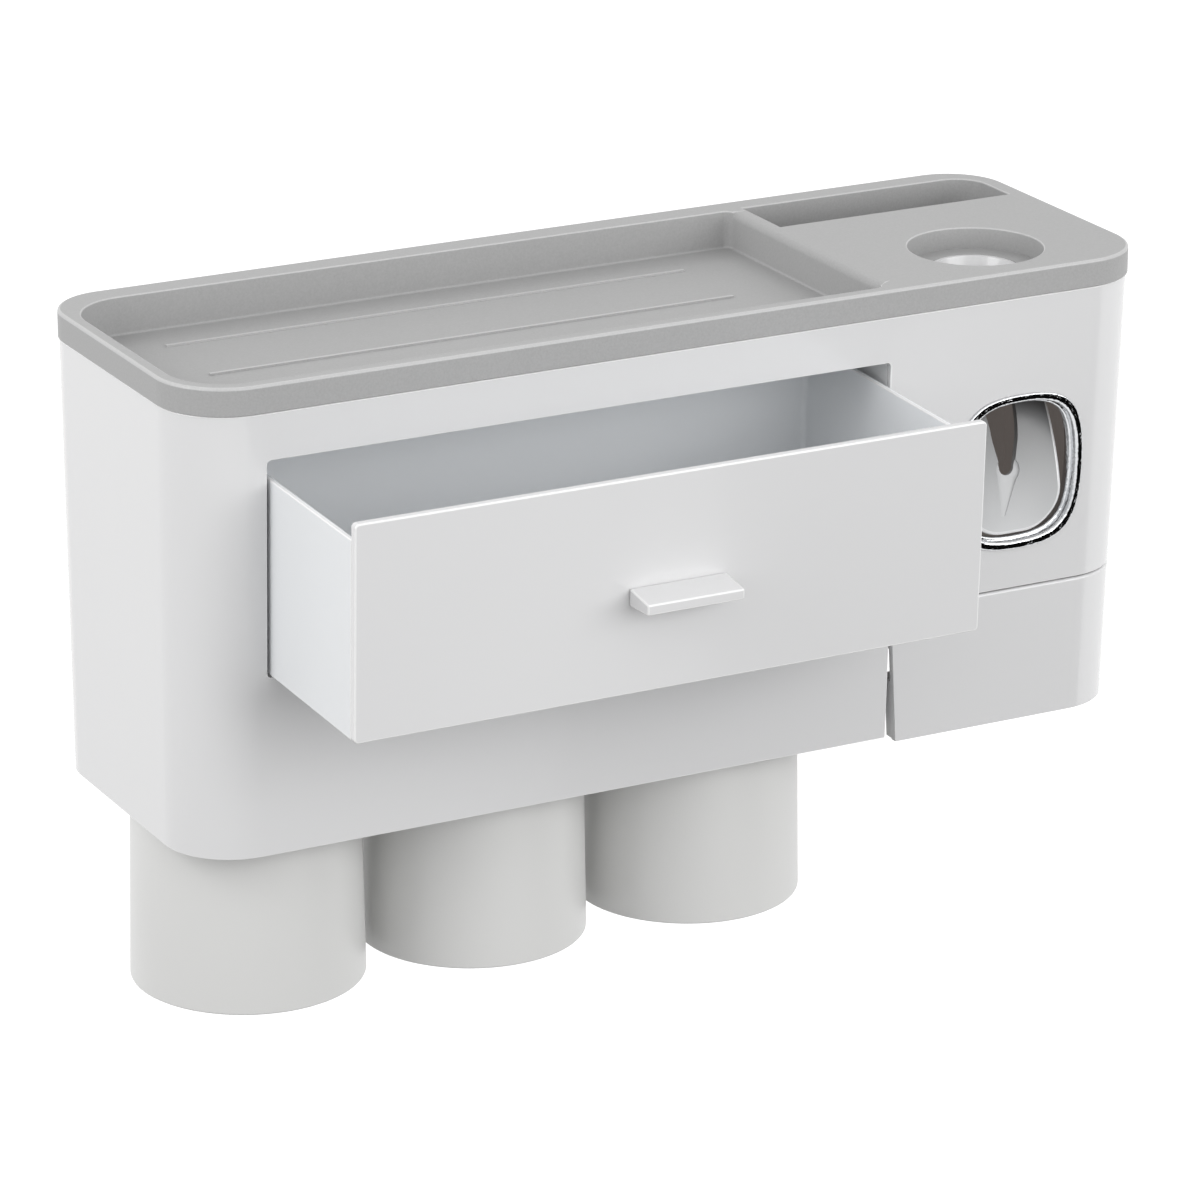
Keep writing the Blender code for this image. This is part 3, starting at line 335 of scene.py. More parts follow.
# The next finish is a lighter copy of the lever grey: painted light for the dent below the notch.
lever_dent_light = finish("lever_grey_dent_light", (0.47, 0.475, 0.48), (0.51, 0.515, 0.52), 0.30, 0.06, lever_grain)
# The next finish is the lever grey made much brighter: a painted highlight for the lever's rim.
lever_highlight = finish("lever_grey_highlight", (0.78, 0.785, 0.79), (0.82, 0.825, 0.83), 0.18, 0.06, lever_grain, coat=0.5)
chrome = finish(
    "bezel_chrome", (0.60, 0.61, 0.63), (0.70, 0.71, 0.72), 0.05, 0.02, chrome_grain, chrome_bump, metal=1.0
)
steel = finish("plain_steel", (0.55, 0.56, 0.57), (0.62, 0.62, 0.63), 0.30, 0.14, steel_grain, metal=1.0)
magnet_grey = finish("magnet_plating", (0.30, 0.30, 0.31), (0.36, 0.36, 0.37), 0.34, 0.12, soft_grain, metal=1.0)
silicone = finish("silicone_grey", (0.55, 0.56, 0.55), (0.60, 0.61, 0.60), 0.55, 0.10, soft_grain)
foam = finish("foam_pad", (0.62, 0.62, 0.60), (0.72, 0.72, 0.70), 0.88, 0.10, foam_grain, foam_bump)
print("finishes:", len(bpy.data.materials))

# %% [markdown]
# ## Modelling by hand, in code
# The next helpers are what a modeller's hands do: select one object, pick some of its edges or faces, round them,
# cut one shape with another. Each piece below starts as a primitive of its real size at its real place.

# %% Hands


def only(piece):
    """Selects one piece and nothing else."""
    bpy.ops.object.select_all(action="DESELECT")
    piece.select_set(True)
    bpy.context.view_layer.objects.active = piece
    return piece


def edit(piece):
    only(piece)
    bpy.ops.object.mode_set(mode="EDIT")


def leave_edit():
    bpy.ops.object.mode_set(mode="OBJECT")


def settle():
    """Makes the active piece's place, turn and size part of its mesh."""
    bpy.ops.object.transform_apply(location=True, rotation=True, scale=True)


def middle(part):
    """The middle of an edge or a face."""
    return sum((v.co for v in part.verts), Vector()) / len(part.verts)


def pick(kind, wanted):
    """In edit mode, selects the parts that a test says yes to. The kind is VERT, EDGE or FACE."""
    bpy.ops.mesh.select_mode(type=kind)
    bpy.ops.mesh.select_all(action="DESELECT")
    mesh = bmesh.from_edit_mesh(bpy.context.object.data)
    found = [part for part in {"VERT": mesh.verts, "EDGE": mesh.edges, "FACE": mesh.faces}[kind] if wanted(part)]
    for part in found:
        part.select_set(True)
    mesh.select_flush_mode()
    bmesh.update_edit_mesh(bpy.context.object.data)
    return len(found)


def upright(edge):
    run = edge.verts[1].co - edge.verts[0].co
    return abs(run.z) > 0.9 * run.length


def front_to_back(edge):
    return abs((edge.verts[1].co - edge.verts[0].co).normalized().y) > 0.9


def extrude(*shift):
    """In edit mode, draws the selected faces out by a distance."""
    bpy.ops.mesh.extrude_region_move(TRANSFORM_OT_translate={"value": shift})


def move(*shift):
    bpy.ops.transform.translate(value=shift)


def give_looks(piece, *looks):
    for look in looks:
        piece.data.materials.append(look)


def paint_all(look_number):
    """In edit mode, gives every face one of the piece's looks."""
    bpy.ops.mesh.select_all(action="SELECT")
    bpy.context.object.active_material_index = look_number
    bpy.ops.object.material_slot_assign()


def round_edges(wanted, radius, steps, look_number=-1):
    """In edit mode, gives the edges that a test says yes to a radius, and their faces another of the looks."""
    if pick("EDGE", wanted):
        bpy.ops.mesh.bevel(offset=radius, segments=steps, affect="EDGES", profile=0.5, material=look_number)


def block(name, low, high):
    """A box between two corners."""
    low, high = Vector(low), Vector(high)
    bpy.ops.object.select_all(action="DESELECT")
    bpy.ops.mesh.primitive_cube_add(size=1, location=(low + high) / 2, scale=high - low)
    settle()
    piece = bpy.context.object
    piece.name = name
    return piece


def rod(name, radius, low, high, steps=96, axis="Z"):
    """A cylinder between two points on one axis."""
    low, high = Vector(low), Vector(high)
    turn = {"Z": (0, 0, 0), "X": (0, math.pi / 2, 0), "Y": (math.pi / 2, 0, 0)}[axis]
    bpy.ops.object.select_all(action="DESELECT")
    bpy.ops.mesh.primitive_cylinder_add(
        vertices=steps, radius=radius, depth=(high - low).length, location=(low + high) / 2, rotation=turn
    )
    settle()
    piece = bpy.context.object
    piece.name = name
    return piece


def apply_modifier(piece, kind, **settings):
    only(piece)
    step = piece.modifiers.new(kind.lower(), kind)
    for setting, value in settings.items():
        setattr(step, setting, value)
    bpy.ops.object.modifier_apply(modifier=step.name)


def carve(piece, *others, operation="DIFFERENCE"):
    """Cuts, joins or crosses a piece with others, which are used up."""
    for other in others:
        apply_modifier(piece, "BOOLEAN", operation=operation, solver="EXACT", object=other)
        bpy.data.objects.remove(other)


def join(piece, *others):
    carve(piece, *others, operation="UNION")


def soften(piece, width, look, highlight_look, steps=3, sharpest=35):
    """Rounds every sharp edge a little. The rounds take the second look, a brighter copy that paints a highlight on
    them.
    """
    only(piece)
    if not piece.data.materials:
        give_looks(piece, look, highlight_look)
    bpy.ops.object.shade_smooth()
    apply_modifier(
        piece,
        "BEVEL",
        width=width,
        segments=steps,
        limit_method="ANGLE",
        angle_limit=math.radians(sharpest),
        use_clamp_overlap=True,
        material=1,
        miter_outer="MITER_ARC",
    )
    apply_modifier(piece, "WEIGHTED_NORMAL", keep_sharp=True, weight=90)


def dress(piece, look, body, *nodes, slot=None):
    """Gives a finished piece its look and its body, and hides the CAD nodes that it stands for."""
    only(piece)
    settle()
    if not piece.data.materials:
        give_looks(piece, look)
    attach(piece, body)
    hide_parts(*nodes)
    print(piece.name, "faces:", len(piece.data.polygons))
    return piece


# %% [markdown]
# ## Sizes that the shells share
# The body leans: its front wall steps back by a few millimetres towards the foot, and its sides draw in a little,
# so that it leaves its mould. The corners keep their radius all the way down. The ends of the body come from the
# frame, and the radii and walls are the real ones in metres.

# %% Shared sizes
soft_edge = 0.0005
fine_edge = 0.0004
touch = 0.0003
overrun = 0.004
front_corner = 0.0227
rear_corner = 0.0195
shell_wall = 0.0022
rear_wall = 0.0018
side_draft = 0.0013
front_lean = 0.0044
corner_steps = 16

shell_low, shell_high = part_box("housing")
tray_low, tray_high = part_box("top_tray")
shell_height = shell_high.z - shell_low.z
lean = math.atan(front_lean / shell_height)
rear = shell_high.y


def face_y(z):
    """The front wall's outer face at a height."""
    return shell_low.y + front_lean * (shell_high.z - z) / shell_height


def side_x(z):
    """Half the body's width at a height."""
    return shell_high.x - side_draft * (shell_high.z - z) / shell_height


face_origin = Vector((0, face_y(shell_high.z), shell_high.z))
face_frame = Matrix.Translation(face_origin) @ Matrix.Rotation(lean, 4, "X")
print("lean, degrees:", round(math.degrees(lean), 2))


def on_face(drop):
    """Height in the front wall's own frame of a place that lies this far below the tray's top."""
    return (tray_high.z - drop - shell_high.z) / math.cos(lean)


def lay_on_face(piece):
    """Leans a piece that was modelled upright at the world's origin onto the front wall."""
    only(piece)
    piece.matrix_world = face_frame
    settle()
    return piece


def round_plan(centre, inset):
    """In edit mode, gives a block's upright edges the holder's own corner radii, smaller for a block drawn in."""
    round_edges(lambda e: upright(e) and middle(e).y < centre, front_corner - inset, corner_steps)
    round_edges(lambda e: upright(e) and middle(e).y > centre, rear_corner - inset, corner_steps)


def leaning_block(name, low, high, inset, rear_inset):
    """A block of the body's own plan and lean between two heights."""
    half = side_x(high) - inset
    piece = block(name, (-half, face_y(high) + inset, low), (half, rear - rear_inset, high))
    centre = (face_y(high) + rear) / 2
    edit(piece)
    round_plan(centre, inset)
    foot = (low + high) / 2
    pick("VERT", lambda v: v.co.z < foot)
    draw_in = (side_x(low) - inset) / half
    bpy.ops.transform.resize(value=(draw_in, 1, 1), center_override=(0, 0, low))
    pick("VERT", lambda v: v.co.z < foot and v.co.y < centre)
    move(0, face_y(low) - face_y(high), 0)
    leave_edit()
    return piece


# %% [markdown]
# ## The window's soft square
# The dispenser's window is neither a circle nor a rounded square, but between the two. A Bezier circle becomes
# just that when the handles of its four points are drawn out. The ring is made a mesh, filled and given a depth,
# and one function makes the cutter, the bezel's plate and its sleeve.

# %% Window outline
dispenser_x = (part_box("dispenser_case")[0].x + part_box("dispenser_case")[1].x) / 2
window_drop = 0.068
window_half_width = 0.0238
window_half_height = 0.0264
handle_draw = 1.42
ring_points = 24


def window_block(name, inset, start, end):
    """A solid of the window's outline, drawn in all round, from one depth behind the front face to another."""
    bpy.ops.object.select_all(action="DESELECT")
    bpy.ops.curve.primitive_bezier_circle_add(radius=1)
    ring = bpy.context.object
    ring.name = name
    ring.data.resolution_u = ring_points
    for point in ring.data.splines[0].bezier_points:
        point.handle_left_type = point.handle_right_type = "FREE"
        point.handle_left = point.co + (point.handle_left - point.co) * handle_draw
        point.handle_right = point.co + (point.handle_right - point.co) * handle_draw
    bpy.ops.object.convert(target="MESH")
    edit(ring)
    bpy.ops.mesh.select_all(action="SELECT")
    bpy.ops.mesh.remove_doubles(threshold=touch / 10)
    bpy.ops.mesh.edge_face_add()
    extrude(0, 0, 1)
    bpy.ops.mesh.select_all(action="SELECT")
    bpy.ops.mesh.normals_make_consistent(inside=False)
    leave_edit()
    ring.matrix_world = (
        Matrix.Translation((dispenser_x, start, on_face(window_drop)))
        @ Matrix.Rotation(-math.pi / 2, 4, "X")
        @ Matrix.Diagonal((window_half_width - inset, window_half_height - inset, end - start, 1))
    )
    only(ring)
    settle()
    return lay_on_face(ring)


# %% [markdown]
# ## The body
# The body is one thin gloss shell, open at its top and foot. A solid block of the right plan is hollowed with a
# smaller one, then cut for the drawer, the window, the wall plate and the cover at the lower right. Cutting first
# and softening last gives every rim the same small radius, which is what catches the light round an opening, and a
# brighter finish on that radius, which is a painted highlight.

# %% Body
opening_left_margin = 0.0262
opening_drop = 0.0242
opening_height = 0.0698
opening_corner = 0.0014
opening_right = 0.0724
bezel_lip = 0.0014
slot_gap = 0.0014
cover_seam = 0.0006
cover_side_gap = 0.0005
swing_steps = 192
cover_low, cover_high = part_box("dust_cover")
hinge = sum(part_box("hinge_pin_1"), Vector()) / 2
opening_left = opening_left_margin - tray_high.x
opening_top = on_face(opening_drop)


def opening_block(name, grow, start, end):
    """A solid of the drawer opening's outline, grown all round, between two depths behind the front face."""
    low = (opening_left - grow, start, opening_top - opening_height - grow)
    piece = block(name, low, (opening_right + grow, end, opening_top + grow))
    edit(piece)
    round_edges(front_to_back, opening_corner + grow, 5)
    leave_edit()
    return lay_on_face(piece)


body = leaning_block("body_shell", shell_low.z, shell_high.z, 0, 0)
hollow = leaning_block("hollow", shell_low.z - overrun, shell_high.z + overrun, shell_wall, rear_wall)
panel_low, panel_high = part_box("wall_plate")
mouth_margin = 0.004
mouth = block(
    "mouth",
    (panel_low.x - mouth_margin, rear - rear_wall - overrun, panel_low.z - mouth_margin),
    (panel_high.x + mouth_margin, rear + overrun, panel_high.z + mouth_margin),
)
cover_arc = cover_high.y - hinge.y


def beyond_swing(name, radius):
    """What lies above and behind the circle that the cover's rear edge swings in."""
    piece = block(name, (cover_low.x - overrun, hinge.y, hinge.z), (shell_high.x + 2 * overrun, 0, shell_high.z))
    low, high = (cover_low.x - 2 * overrun, hinge.y, hinge.z), (shell_high.x + 3 * overrun, hinge.y, hinge.z)
    carve(piece, rod("swing", radius, low, high, swing_steps, "X"))
    return piece


corner_cut = block(
    "corner_cut",
    (cover_low.x - slot_gap, shell_low.y - overrun, shell_low.z - overrun),
    (shell_high.x + overrun, cover_high.y + cover_side_gap, cover_high.z + cover_seam),
)
carve(corner_cut, beyond_swing("beyond", cover_arc + cover_side_gap))
carve(
    body,
    hollow,
    opening_block("opening", 0, -overrun, shell_wall + overrun),
    window_block("window", bezel_lip, -overrun, shell_wall + overrun),
    mouth,
    corner_cut,
)
soften(body, soft_edge, gloss_white, gloss_highlight)
dress(body, gloss_white, "holder", "housing", slot="gloss_white")

# %% [markdown]
# ## The top tray
# The tray is one moulding that lifts off. Its thin deck carries a deep basin on the left, a pocket for a comb at
# the back right and the round hole for the paste tube. The outside is made first, then the room under the deck is
# taken away, the basin, pocket and collar are added, and at last each hollow is cut into them from above.

# %% Tray cutters
tray_deck = 0.0024
tray_wall = 0.0020
rim_side = 0.0042
rim_front = 0.0046
rim_rear = 0.0094
recess_right_margin = 0.0056
recess_floor_drop = 0.0126
recess_corner = 0.0190
recess_square_corner = 0.0030
recess_fillet = 0.0008
recess_left = tray_low.x + rim_side
recess_right = cover_low.x - recess_right_margin
recess_floor = tray_high.z - recess_floor_drop


def plan_block(name, low, high, left_corner, right_corner, foot_round=0.0):
    """A box whose upright edges are rounded, other on the left than on the right, and its foot's edges too."""
    piece = block(name, low, high)
    centre = (low[0] + high[0]) / 2
    edit(piece)
    round_edges(lambda e: upright(e) and middle(e).x < centre, left_corner, 12)
    round_edges(lambda e: upright(e) and middle(e).x > centre, right_corner, 8)
    if foot_round:
        round_edges(lambda e: max(v.co.z for v in e.verts) < low[2] + touch / 10, foot_round, 4)
    leave_edit()
    return piece


def tray_block(name, low, high, inset):
    """A block of the tray's own outline, drawn in all round."""
    front_y, rear_y = tray_low.y + inset, tray_high.y - inset
    piece = block(name, (tray_low.x + inset, front_y, low), (tray_high.x - inset, rear_y, high))
    edit(piece)
    round_plan((front_y + rear_y) / 2, inset)
    leave_edit()
    return piece


# %% [markdown]
# The rims get two radii: a clear one on the outer edge, where a hand takes hold, and a finer one in the hollows.
# The comb pocket has one wide corner at its rear right and sharp ones elsewhere, as the tray's outer corner asks.

# %% Tray
tray_edge_round = 0.0009
tray_rim_round = 0.0004
tray_band = 0.0088
tray_foot = tray_high.z - tray_band
pocket_left = recess_right + 0.0050
pocket_right = tray_high.x - 0.0060
pocket_rear = tray_high.y - 0.0085
pocket_front = pocket_rear - 0.0255
pocket_floor = tray_high.z - 0.0400
pocket_wide_corner = 0.0110
hole_radius = 0.0220
hole_depth = 0.0070
ring_thickness = 0.0014
ring_radius = 0.0148
hole_place = Vector((dispenser_x - 0.0010, tray_high.y - 0.0825, tray_high.z))
above = tray_high.z + overrun
tray_soft_edge = 0.0006
sharp_enough = 0.6


def pocket_block(name, low, high, grow):
    piece = block(
        name, (pocket_left - grow, pocket_front - grow, low), (pocket_right + grow, pocket_rear + grow, high)
    )
    edit(piece)
    wide = lambda e: upright(e) and middle(e).x > pocket_right - touch and middle(e).y > pocket_rear - touch
    round_edges(wide, pocket_wide_corner + grow, 10)
    leave_edit()
    return piece


def on_top(v):
    return abs(v.co.z - tray_high.z) < touch / 10


def hole_rod(name, radius, low, high):
    return rod(name, radius, (hole_place.x, hole_place.y, low), (hole_place.x, hole_place.y, high), 128)


tray = tray_block("tray", tray_foot, tray_high.z, 0)
give_looks(tray, tray_grey, tray_highlight)
edit(tray)
# The top's outer rounds take the brighter grey, a painted highlight.
round_edges(lambda e: min(v.co.z for v in e.verts) > tray_high.z - touch / 10, tray_edge_round, 4, 1)
leave_edit()
deck_under = tray_high.z - tray_deck
into_deck = deck_under + tray_deck / 2
basin_inset = 0.0031
basin = plan_block(
    "basin",
    (tray_low.x + basin_inset, tray_low.y + basin_inset, recess_floor - tray_wall),
    (recess_right + tray_wall, tray_high.y - rim_rear + tray_wall, into_deck),
    front_corner - basin_inset,
    recess_square_corner,
)
carve(tray, tray_block("room_under", tray_foot - overrun, deck_under, tray_wall))
join(
    tray,
    basin,
    pocket_block("pocket_wall", pocket_floor - tray_wall, into_deck, tray_wall),
    hole_rod("collar", hole_radius + tray_wall, tray_high.z - hole_depth - ring_thickness, into_deck),
)
recess = plan_block(
    "recess",
    (recess_left, tray_low.y + rim_front, recess_floor),
    (recess_right, tray_high.y - rim_rear, above),
    recess_corner,
    recess_square_corner,
    recess_fillet,
)
carve(
    tray,
    recess,
    pocket_block("pocket", pocket_floor, above, 0),
    hole_rod("tube_hole", hole_radius, tray_high.z - hole_depth, above),
    hole_rod("ring_hole", ring_radius, tray_low.z - overrun, above),
)
soft_side = 0.0028
edit(tray)
deck_edge = lambda e: all(on_top(v) and abs(v.co.x - recess_right) < touch / 3 for v in e.verts)
round_edges(deck_edge, soft_side, 6, 0)
top_rim = lambda e: e.calc_face_angle(0) > sharp_enough and all(on_top(v) for v in e.verts)
# The rims' rounds take the brighter grey as well, a painted highlight.
round_edges(top_rim, tray_rim_round, 3, 1)
leave_edit()
rib_margin = 0.0271
rib_width = 0.0012
rib_height = 0.0006
rib_setbacks = 0.0270, 0.0600
for setback in rib_setbacks:
    rib_y = tray_high.y - setback
    rib = block(
        "rib",
        (recess_left + rib_margin, rib_y - rib_width / 2, recess_floor - tray_wall / 2),
        (recess_right - rib_margin, rib_y + rib_width / 2, recess_floor + rib_height),
    )
    give_looks(rib, tray_grey, tray_highlight)
    edit(rib)
    # The whole rib takes the brighter grey, a painted highlight.
    paint_all(1)
    leave_edit()
    join(tray, rib)
soften(tray, tray_soft_edge, tray_grey, tray_highlight)
dress(tray, tray_grey, "tray", "top_tray", slot="tray_grey")

# %% [markdown]
# ## The drawer
# A flat front with rounded edges, a small wedge to pull it by, and a thin open box behind. The front leans with
# the body's face, so the drawer comes out a little downwards. All three are modelled upright in the face's own
# frame, at the depth that the drawer stands out at rest, and then leaned onto it.

# %% Drawer
drawer_pulled = 0.0589
side_gap = 0.0008
top_gap = 0.0005
drawer_left = opening_left + side_gap
drawer_right = opening_right - side_gap
drawer_top = opening_top - top_gap
drawer_foot = opening_top - opening_height + top_gap
front_thickness = 0.0030
box_wall = 0.0018
box_depth = 0.1018
box_corner = 0.0035
box_inner_corner = 0.0018
box_fillet = 0.0012
box_left_inset = 0.0003
box_right_inset = 0.0021
box_top_drop = 0.0058
box_left = drawer_left + box_left_inset
box_right = drawer_right - box_right_inset
box_top = drawer_top - box_top_drop

drawer_front = block(
    "drawer_face",
    (drawer_left, -drawer_pulled, drawer_foot),
    (drawer_right, -drawer_pulled + front_thickness, drawer_top),
)
edit(drawer_front)
round_edges(front_to_back, opening_corner, 6)
leave_edit()
soften(drawer_front, soft_edge, gloss_white, gloss_highlight, 4)
dress(lay_on_face(drawer_front), gloss_white, "drawer", "drawer_front", slot="gloss_white")

box_front = -drawer_pulled + front_thickness + touch
drawer_box = block(
    "drawer_tray", (box_left, box_front, drawer_foot), (box_right, box_front + box_depth, box_top)
)
edit(drawer_box)
round_edges(lambda e: upright(e) and middle(e).y > box_front + box_depth / 2, box_corner, 6)
leave_edit()
inside = block(
    "inside",
    (box_left + box_wall, box_front + box_wall, drawer_foot + box_wall),
    (box_right - box_wall, box_front + box_depth - box_wall, box_top + overrun),
)
edit(inside)
round_edges(upright, box_inner_corner, 6)
round_edges(lambda e: max(v.co.z for v in e.verts) < drawer_foot + box_wall + touch / 10, box_fillet, 4)
leave_edit()
carve(drawer_box, inside)
soften(drawer_box, soft_edge, drawer_white, gloss_highlight)
dress(lay_on_face(drawer_box), drawer_white, "drawer", "drawer_box", slot="gloss_white")

# %% [markdown]
# The handle is a wedge: thick where it meets the front, thin at its lip. A block of the right length is drawn
# together at its outer edge, and its edges are rounded like any moulded grip.

# %% Handle
handle_width = 0.0330
handle_reach = 0.0120
handle_drop = 0.0373
handle_root = 0.0056
handle_lip = 0.0033
handle_fall = 0.0014
handle_top = drawer_top - handle_drop + handle_root / 2
handle_middle = (drawer_left + drawer_right) / 2
handle = block(
    "pull",
    (handle_middle - handle_width / 2, -drawer_pulled - handle_reach, handle_top - handle_root),
    (handle_middle + handle_width / 2, -drawer_pulled - touch, handle_top),
)
edit(handle)
outer = lambda v: v.co.y < -drawer_pulled - handle_reach / 2
pick("VERT", lambda v: outer(v) and v.co.z > handle_top - handle_root / 2)
move(0, 0, -handle_fall)
pick("VERT", lambda v: outer(v) and v.co.z < handle_top - handle_root / 2)
move(0, 0, handle_root - handle_lip - handle_fall)
leave_edit()
soften(handle, soft_edge, gloss_white, gloss_highlight, 4)
dress(lay_on_face(handle), gloss_white, "drawer", "drawer_handle", slot="gloss_white")

# %% [markdown]
# ## The cups
# Three plain tumblers hang upside down. A cylinder is drawn in a little at its base, hollowed from the mouth by
# insetting and extruding, and given a shallow seat in its base for the steel disc. One is modelled and then copied
# for the other two.

# %% Cups
cup_low, cup_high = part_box("cup_1")
mouth_radius = (cup_high.x - cup_low.x) / 2
cup_taper = 0.0022
cup_wall = 0.0018
cup_floor = 0.0034
cup_base_round = 0.0025
cup_rim_round = 0.0007
cup_smooth_below = math.radians(35)
base_radius = mouth_radius - cup_taper
disc_low, disc_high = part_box("cup_disc_1")
seat_radius = (disc_high.x - disc_low.x) / 2 + touch
cup_middle = (cup_low + cup_high) / 2


def from_axis(v, centre):
    return math.hypot(v.co.x - centre.x, v.co.y - centre.y)


def scale_flat(factor, centre):
    bpy.ops.transform.resize(value=(factor, factor, 1), center_override=centre)


cup = rod(
    "cup", mouth_radius, (cup_middle.x, cup_middle.y, cup_low.z), (cup_middle.x, cup_middle.y, cup_high.z), 128
)
edit(cup)
pick("VERT", lambda v: v.co.z > cup_middle.z)
scale_flat(base_radius / mouth_radius, cup_middle)
pick("FACE", lambda f: len(f.verts) > 4 and middle(f).z < cup_middle.z)
bpy.ops.mesh.inset(thickness=cup_wall)
extrude(0, 0, cup_high.z - cup_low.z - cup_floor)
scale_flat((base_radius - cup_wall) / (mouth_radius - cup_wall), cup_middle)
pick("FACE", lambda f: len(f.verts) > 4 and middle(f).z > cup_high.z - touch)
bpy.ops.mesh.inset(thickness=base_radius - seat_radius)
extrude(0, 0, disc_low.z - cup_high.z - touch)


def outer_base_edge(e):
    at_base = min(v.co.z for v in e.verts) > cup_high.z - touch / 10
    return at_base and from_axis(e.verts[0], cup_middle) > base_radius - touch


def mouth_edge(e):
    at_mouth = max(v.co.z for v in e.verts) < cup_low.z + touch / 10
    return at_mouth and abs(from_axis(e.verts[0], cup_middle) - from_axis(e.verts[1], cup_middle)) < touch / 10


round_edges(outer_base_edge, cup_base_round, 5)
round_edges(mouth_edge, cup_rim_round, 4)
leave_edit()
only(cup)
bpy.ops.object.shade_smooth_by_angle(angle=cup_smooth_below)
for cup_number, body_name in enumerate(("cup_left", "cup_middle", "cup_right"), 1):
    low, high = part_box(f"cup_{cup_number}")
    copy = cup
    if cup_number > 1:
        only(cup)
        bpy.ops.object.duplicate()
        copy = bpy.context.object
        copy.name = f"cup_copy_{cup_number}"
        move(*((low + high) / 2 - cup_middle))
    dress(copy, cup_white, body_name, f"cup_{cup_number}", slot="cup_white")

# %% [markdown]
# ## The dust cover
# The lower right corner of the body is a piece of its own that swings up over the brushes. It is cut from the
# same leaning block as the body, hollowed from behind, and its left edge is drawn away from the body towards the
# foot. A small flange behind that edge fills the lower part of the gap, and two lugs inside the top edge carry the
# hinge. The top edge has a radius of its own, so that the seam reads as a line.

# %% Dust cover
cover_wall = 0.0024
slot_spread = 0.0024
slot_straight_drop = 0.1210
cover_edge_round = 0.0010
flange_reach = slot_spread + 0.0012
flange_depth = 0.0056
flange_height = 0.0205
lug_width = 0.0024
lug_radius = 0.0030

cover = leaning_block("flap", cover_low.z, cover_high.z, 0, 0)
carve(cover, leaning_block("cover_hollow", cover_low.z - overrun, cover_high.z + overrun, cover_wall, -overrun))
flange_foot = on_face(tray_high.z - cover_low.z)
flange = block(
    "flange",
    (cover_low.x, cover_wall - touch, flange_foot + touch),
    (cover_low.x + flange_reach, flange_depth, flange_foot + flange_height),
)
join(cover, lay_on_face(flange))
keep = block(
    "keep",
    (cover_low.x, shell_low.y - overrun, cover_low.z - overrun),
    (shell_high.x + overrun, cover_high.y, cover_high.z + overrun),
)
spread_start = tray_high.z - slot_straight_drop
edit(keep)
bpy.ops.mesh.select_all(action="SELECT")
bpy.ops.mesh.bisect(plane_co=(0, 0, spread_start), plane_no=(0, 0, 1))
slope = slot_spread / (spread_start - shell_low.z)
pick("VERT", lambda v: v.co.z < spread_start - touch and v.co.x < cover_low.x + touch)
move(slope * (spread_start - cover_low.z + overrun), 0, 0)
leave_edit()
carve(cover, keep, operation="INTERSECT")
carve(cover, beyond_swing("beyond", cover_arc))
edit(cover)


def on_skin(v):
    """Says whether a vertex lies on the cover's outer face, with its side and round corner."""
    on_front = abs(v.co.y - face_y(v.co.z)) < touch
    on_side = v.co.y > face_y(v.co.z) + front_corner
    corner = Vector((side_x(v.co.z) - front_corner, face_y(v.co.z) + front_corner))
    return on_front or on_side or from_axis(v, corner) > front_corner - touch


def top_edge(e):
    at_top = min(v.co.z for v in e.verts) > cover_high.z - touch / 10
    return at_top and all(abs(v.co.x - side_x(v.co.z)) < touch or on_skin(v) for v in e.verts)


print("top edges rounded:", pick("EDGE", top_edge))
bpy.ops.mesh.bevel(offset=cover_edge_round, segments=5, affect="EDGES", profile=0.5)
leave_edit()
pins = [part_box(f"hinge_pin_{pin_number}") for pin_number in (1, 2)]
pin_radius = (pins[0][1].z - pins[0][0].z) / 2
for start in (pins[0][0].x, pins[1][1].x - lug_width):
    ends = (start, hinge.y, hinge.z), (start + lug_width, hinge.y, hinge.z)
    lug = rod("lug", lug_radius, *ends, 48, "X")
    root = (start, face_y(hinge.z) + cover_wall - touch, hinge.z - lug_radius)
    join(lug, block("lug_arm", root, (start + lug_width, hinge.y, hinge.z + lug_radius)))
    far_ends = (start - touch, hinge.y, hinge.z), (start + lug_width + touch, hinge.y, hinge.z)
    carve(lug, rod("lug_bore", pin_radius + touch, *far_ends, 48, "X"))
    join(cover, lug)
soften(cover, fine_edge, gloss_white, gloss_highlight)
dress(cover, gloss_white, "cover", "dust_cover", slot="gloss_white")

# %% [markdown]
# ## The chrome rim
# The bezel is the one bright part. Its flat lip lies on the front wall and its sleeve goes through it. The lip is
# rounded outside and in, and a narrower ring sits deeper in the sleeve, so that the rim reads as two bright lines
# with a dark one between them.

# %% Bezel
bezel_proud = 0.0009
bezel_depth = 0.0060
bezel_width = 0.0028
outer_round = 0.00055
inner_round = 0.0011
ring_start = 0.0016
ring_end = 0.0036
ring_width = 0.0009
ring_round = ring_width * 0.8
ring_middle = 0.88
lip_middle = 0.95
bezel_smooth_below = math.radians(40)


def depth_on_face(v):
    """How far behind the front wall's face a vertex lies."""
    return (face_frame.inverted() @ v.co).y


def at_depth(e, depth):
    return all(abs(depth_on_face(v) - depth) <= touch / 10 for v in e.verts)


def from_window(v):
    """How far out a vertex lies on the window's outline, where the outer edge is 1."""
    place = face_frame.inverted() @ v.co
    across = abs(place.x - dispenser_x) / window_half_width
    up = abs(place.z - on_face(window_drop)) / window_half_height
    return (across**3 + up**3) ** (1 / 3)


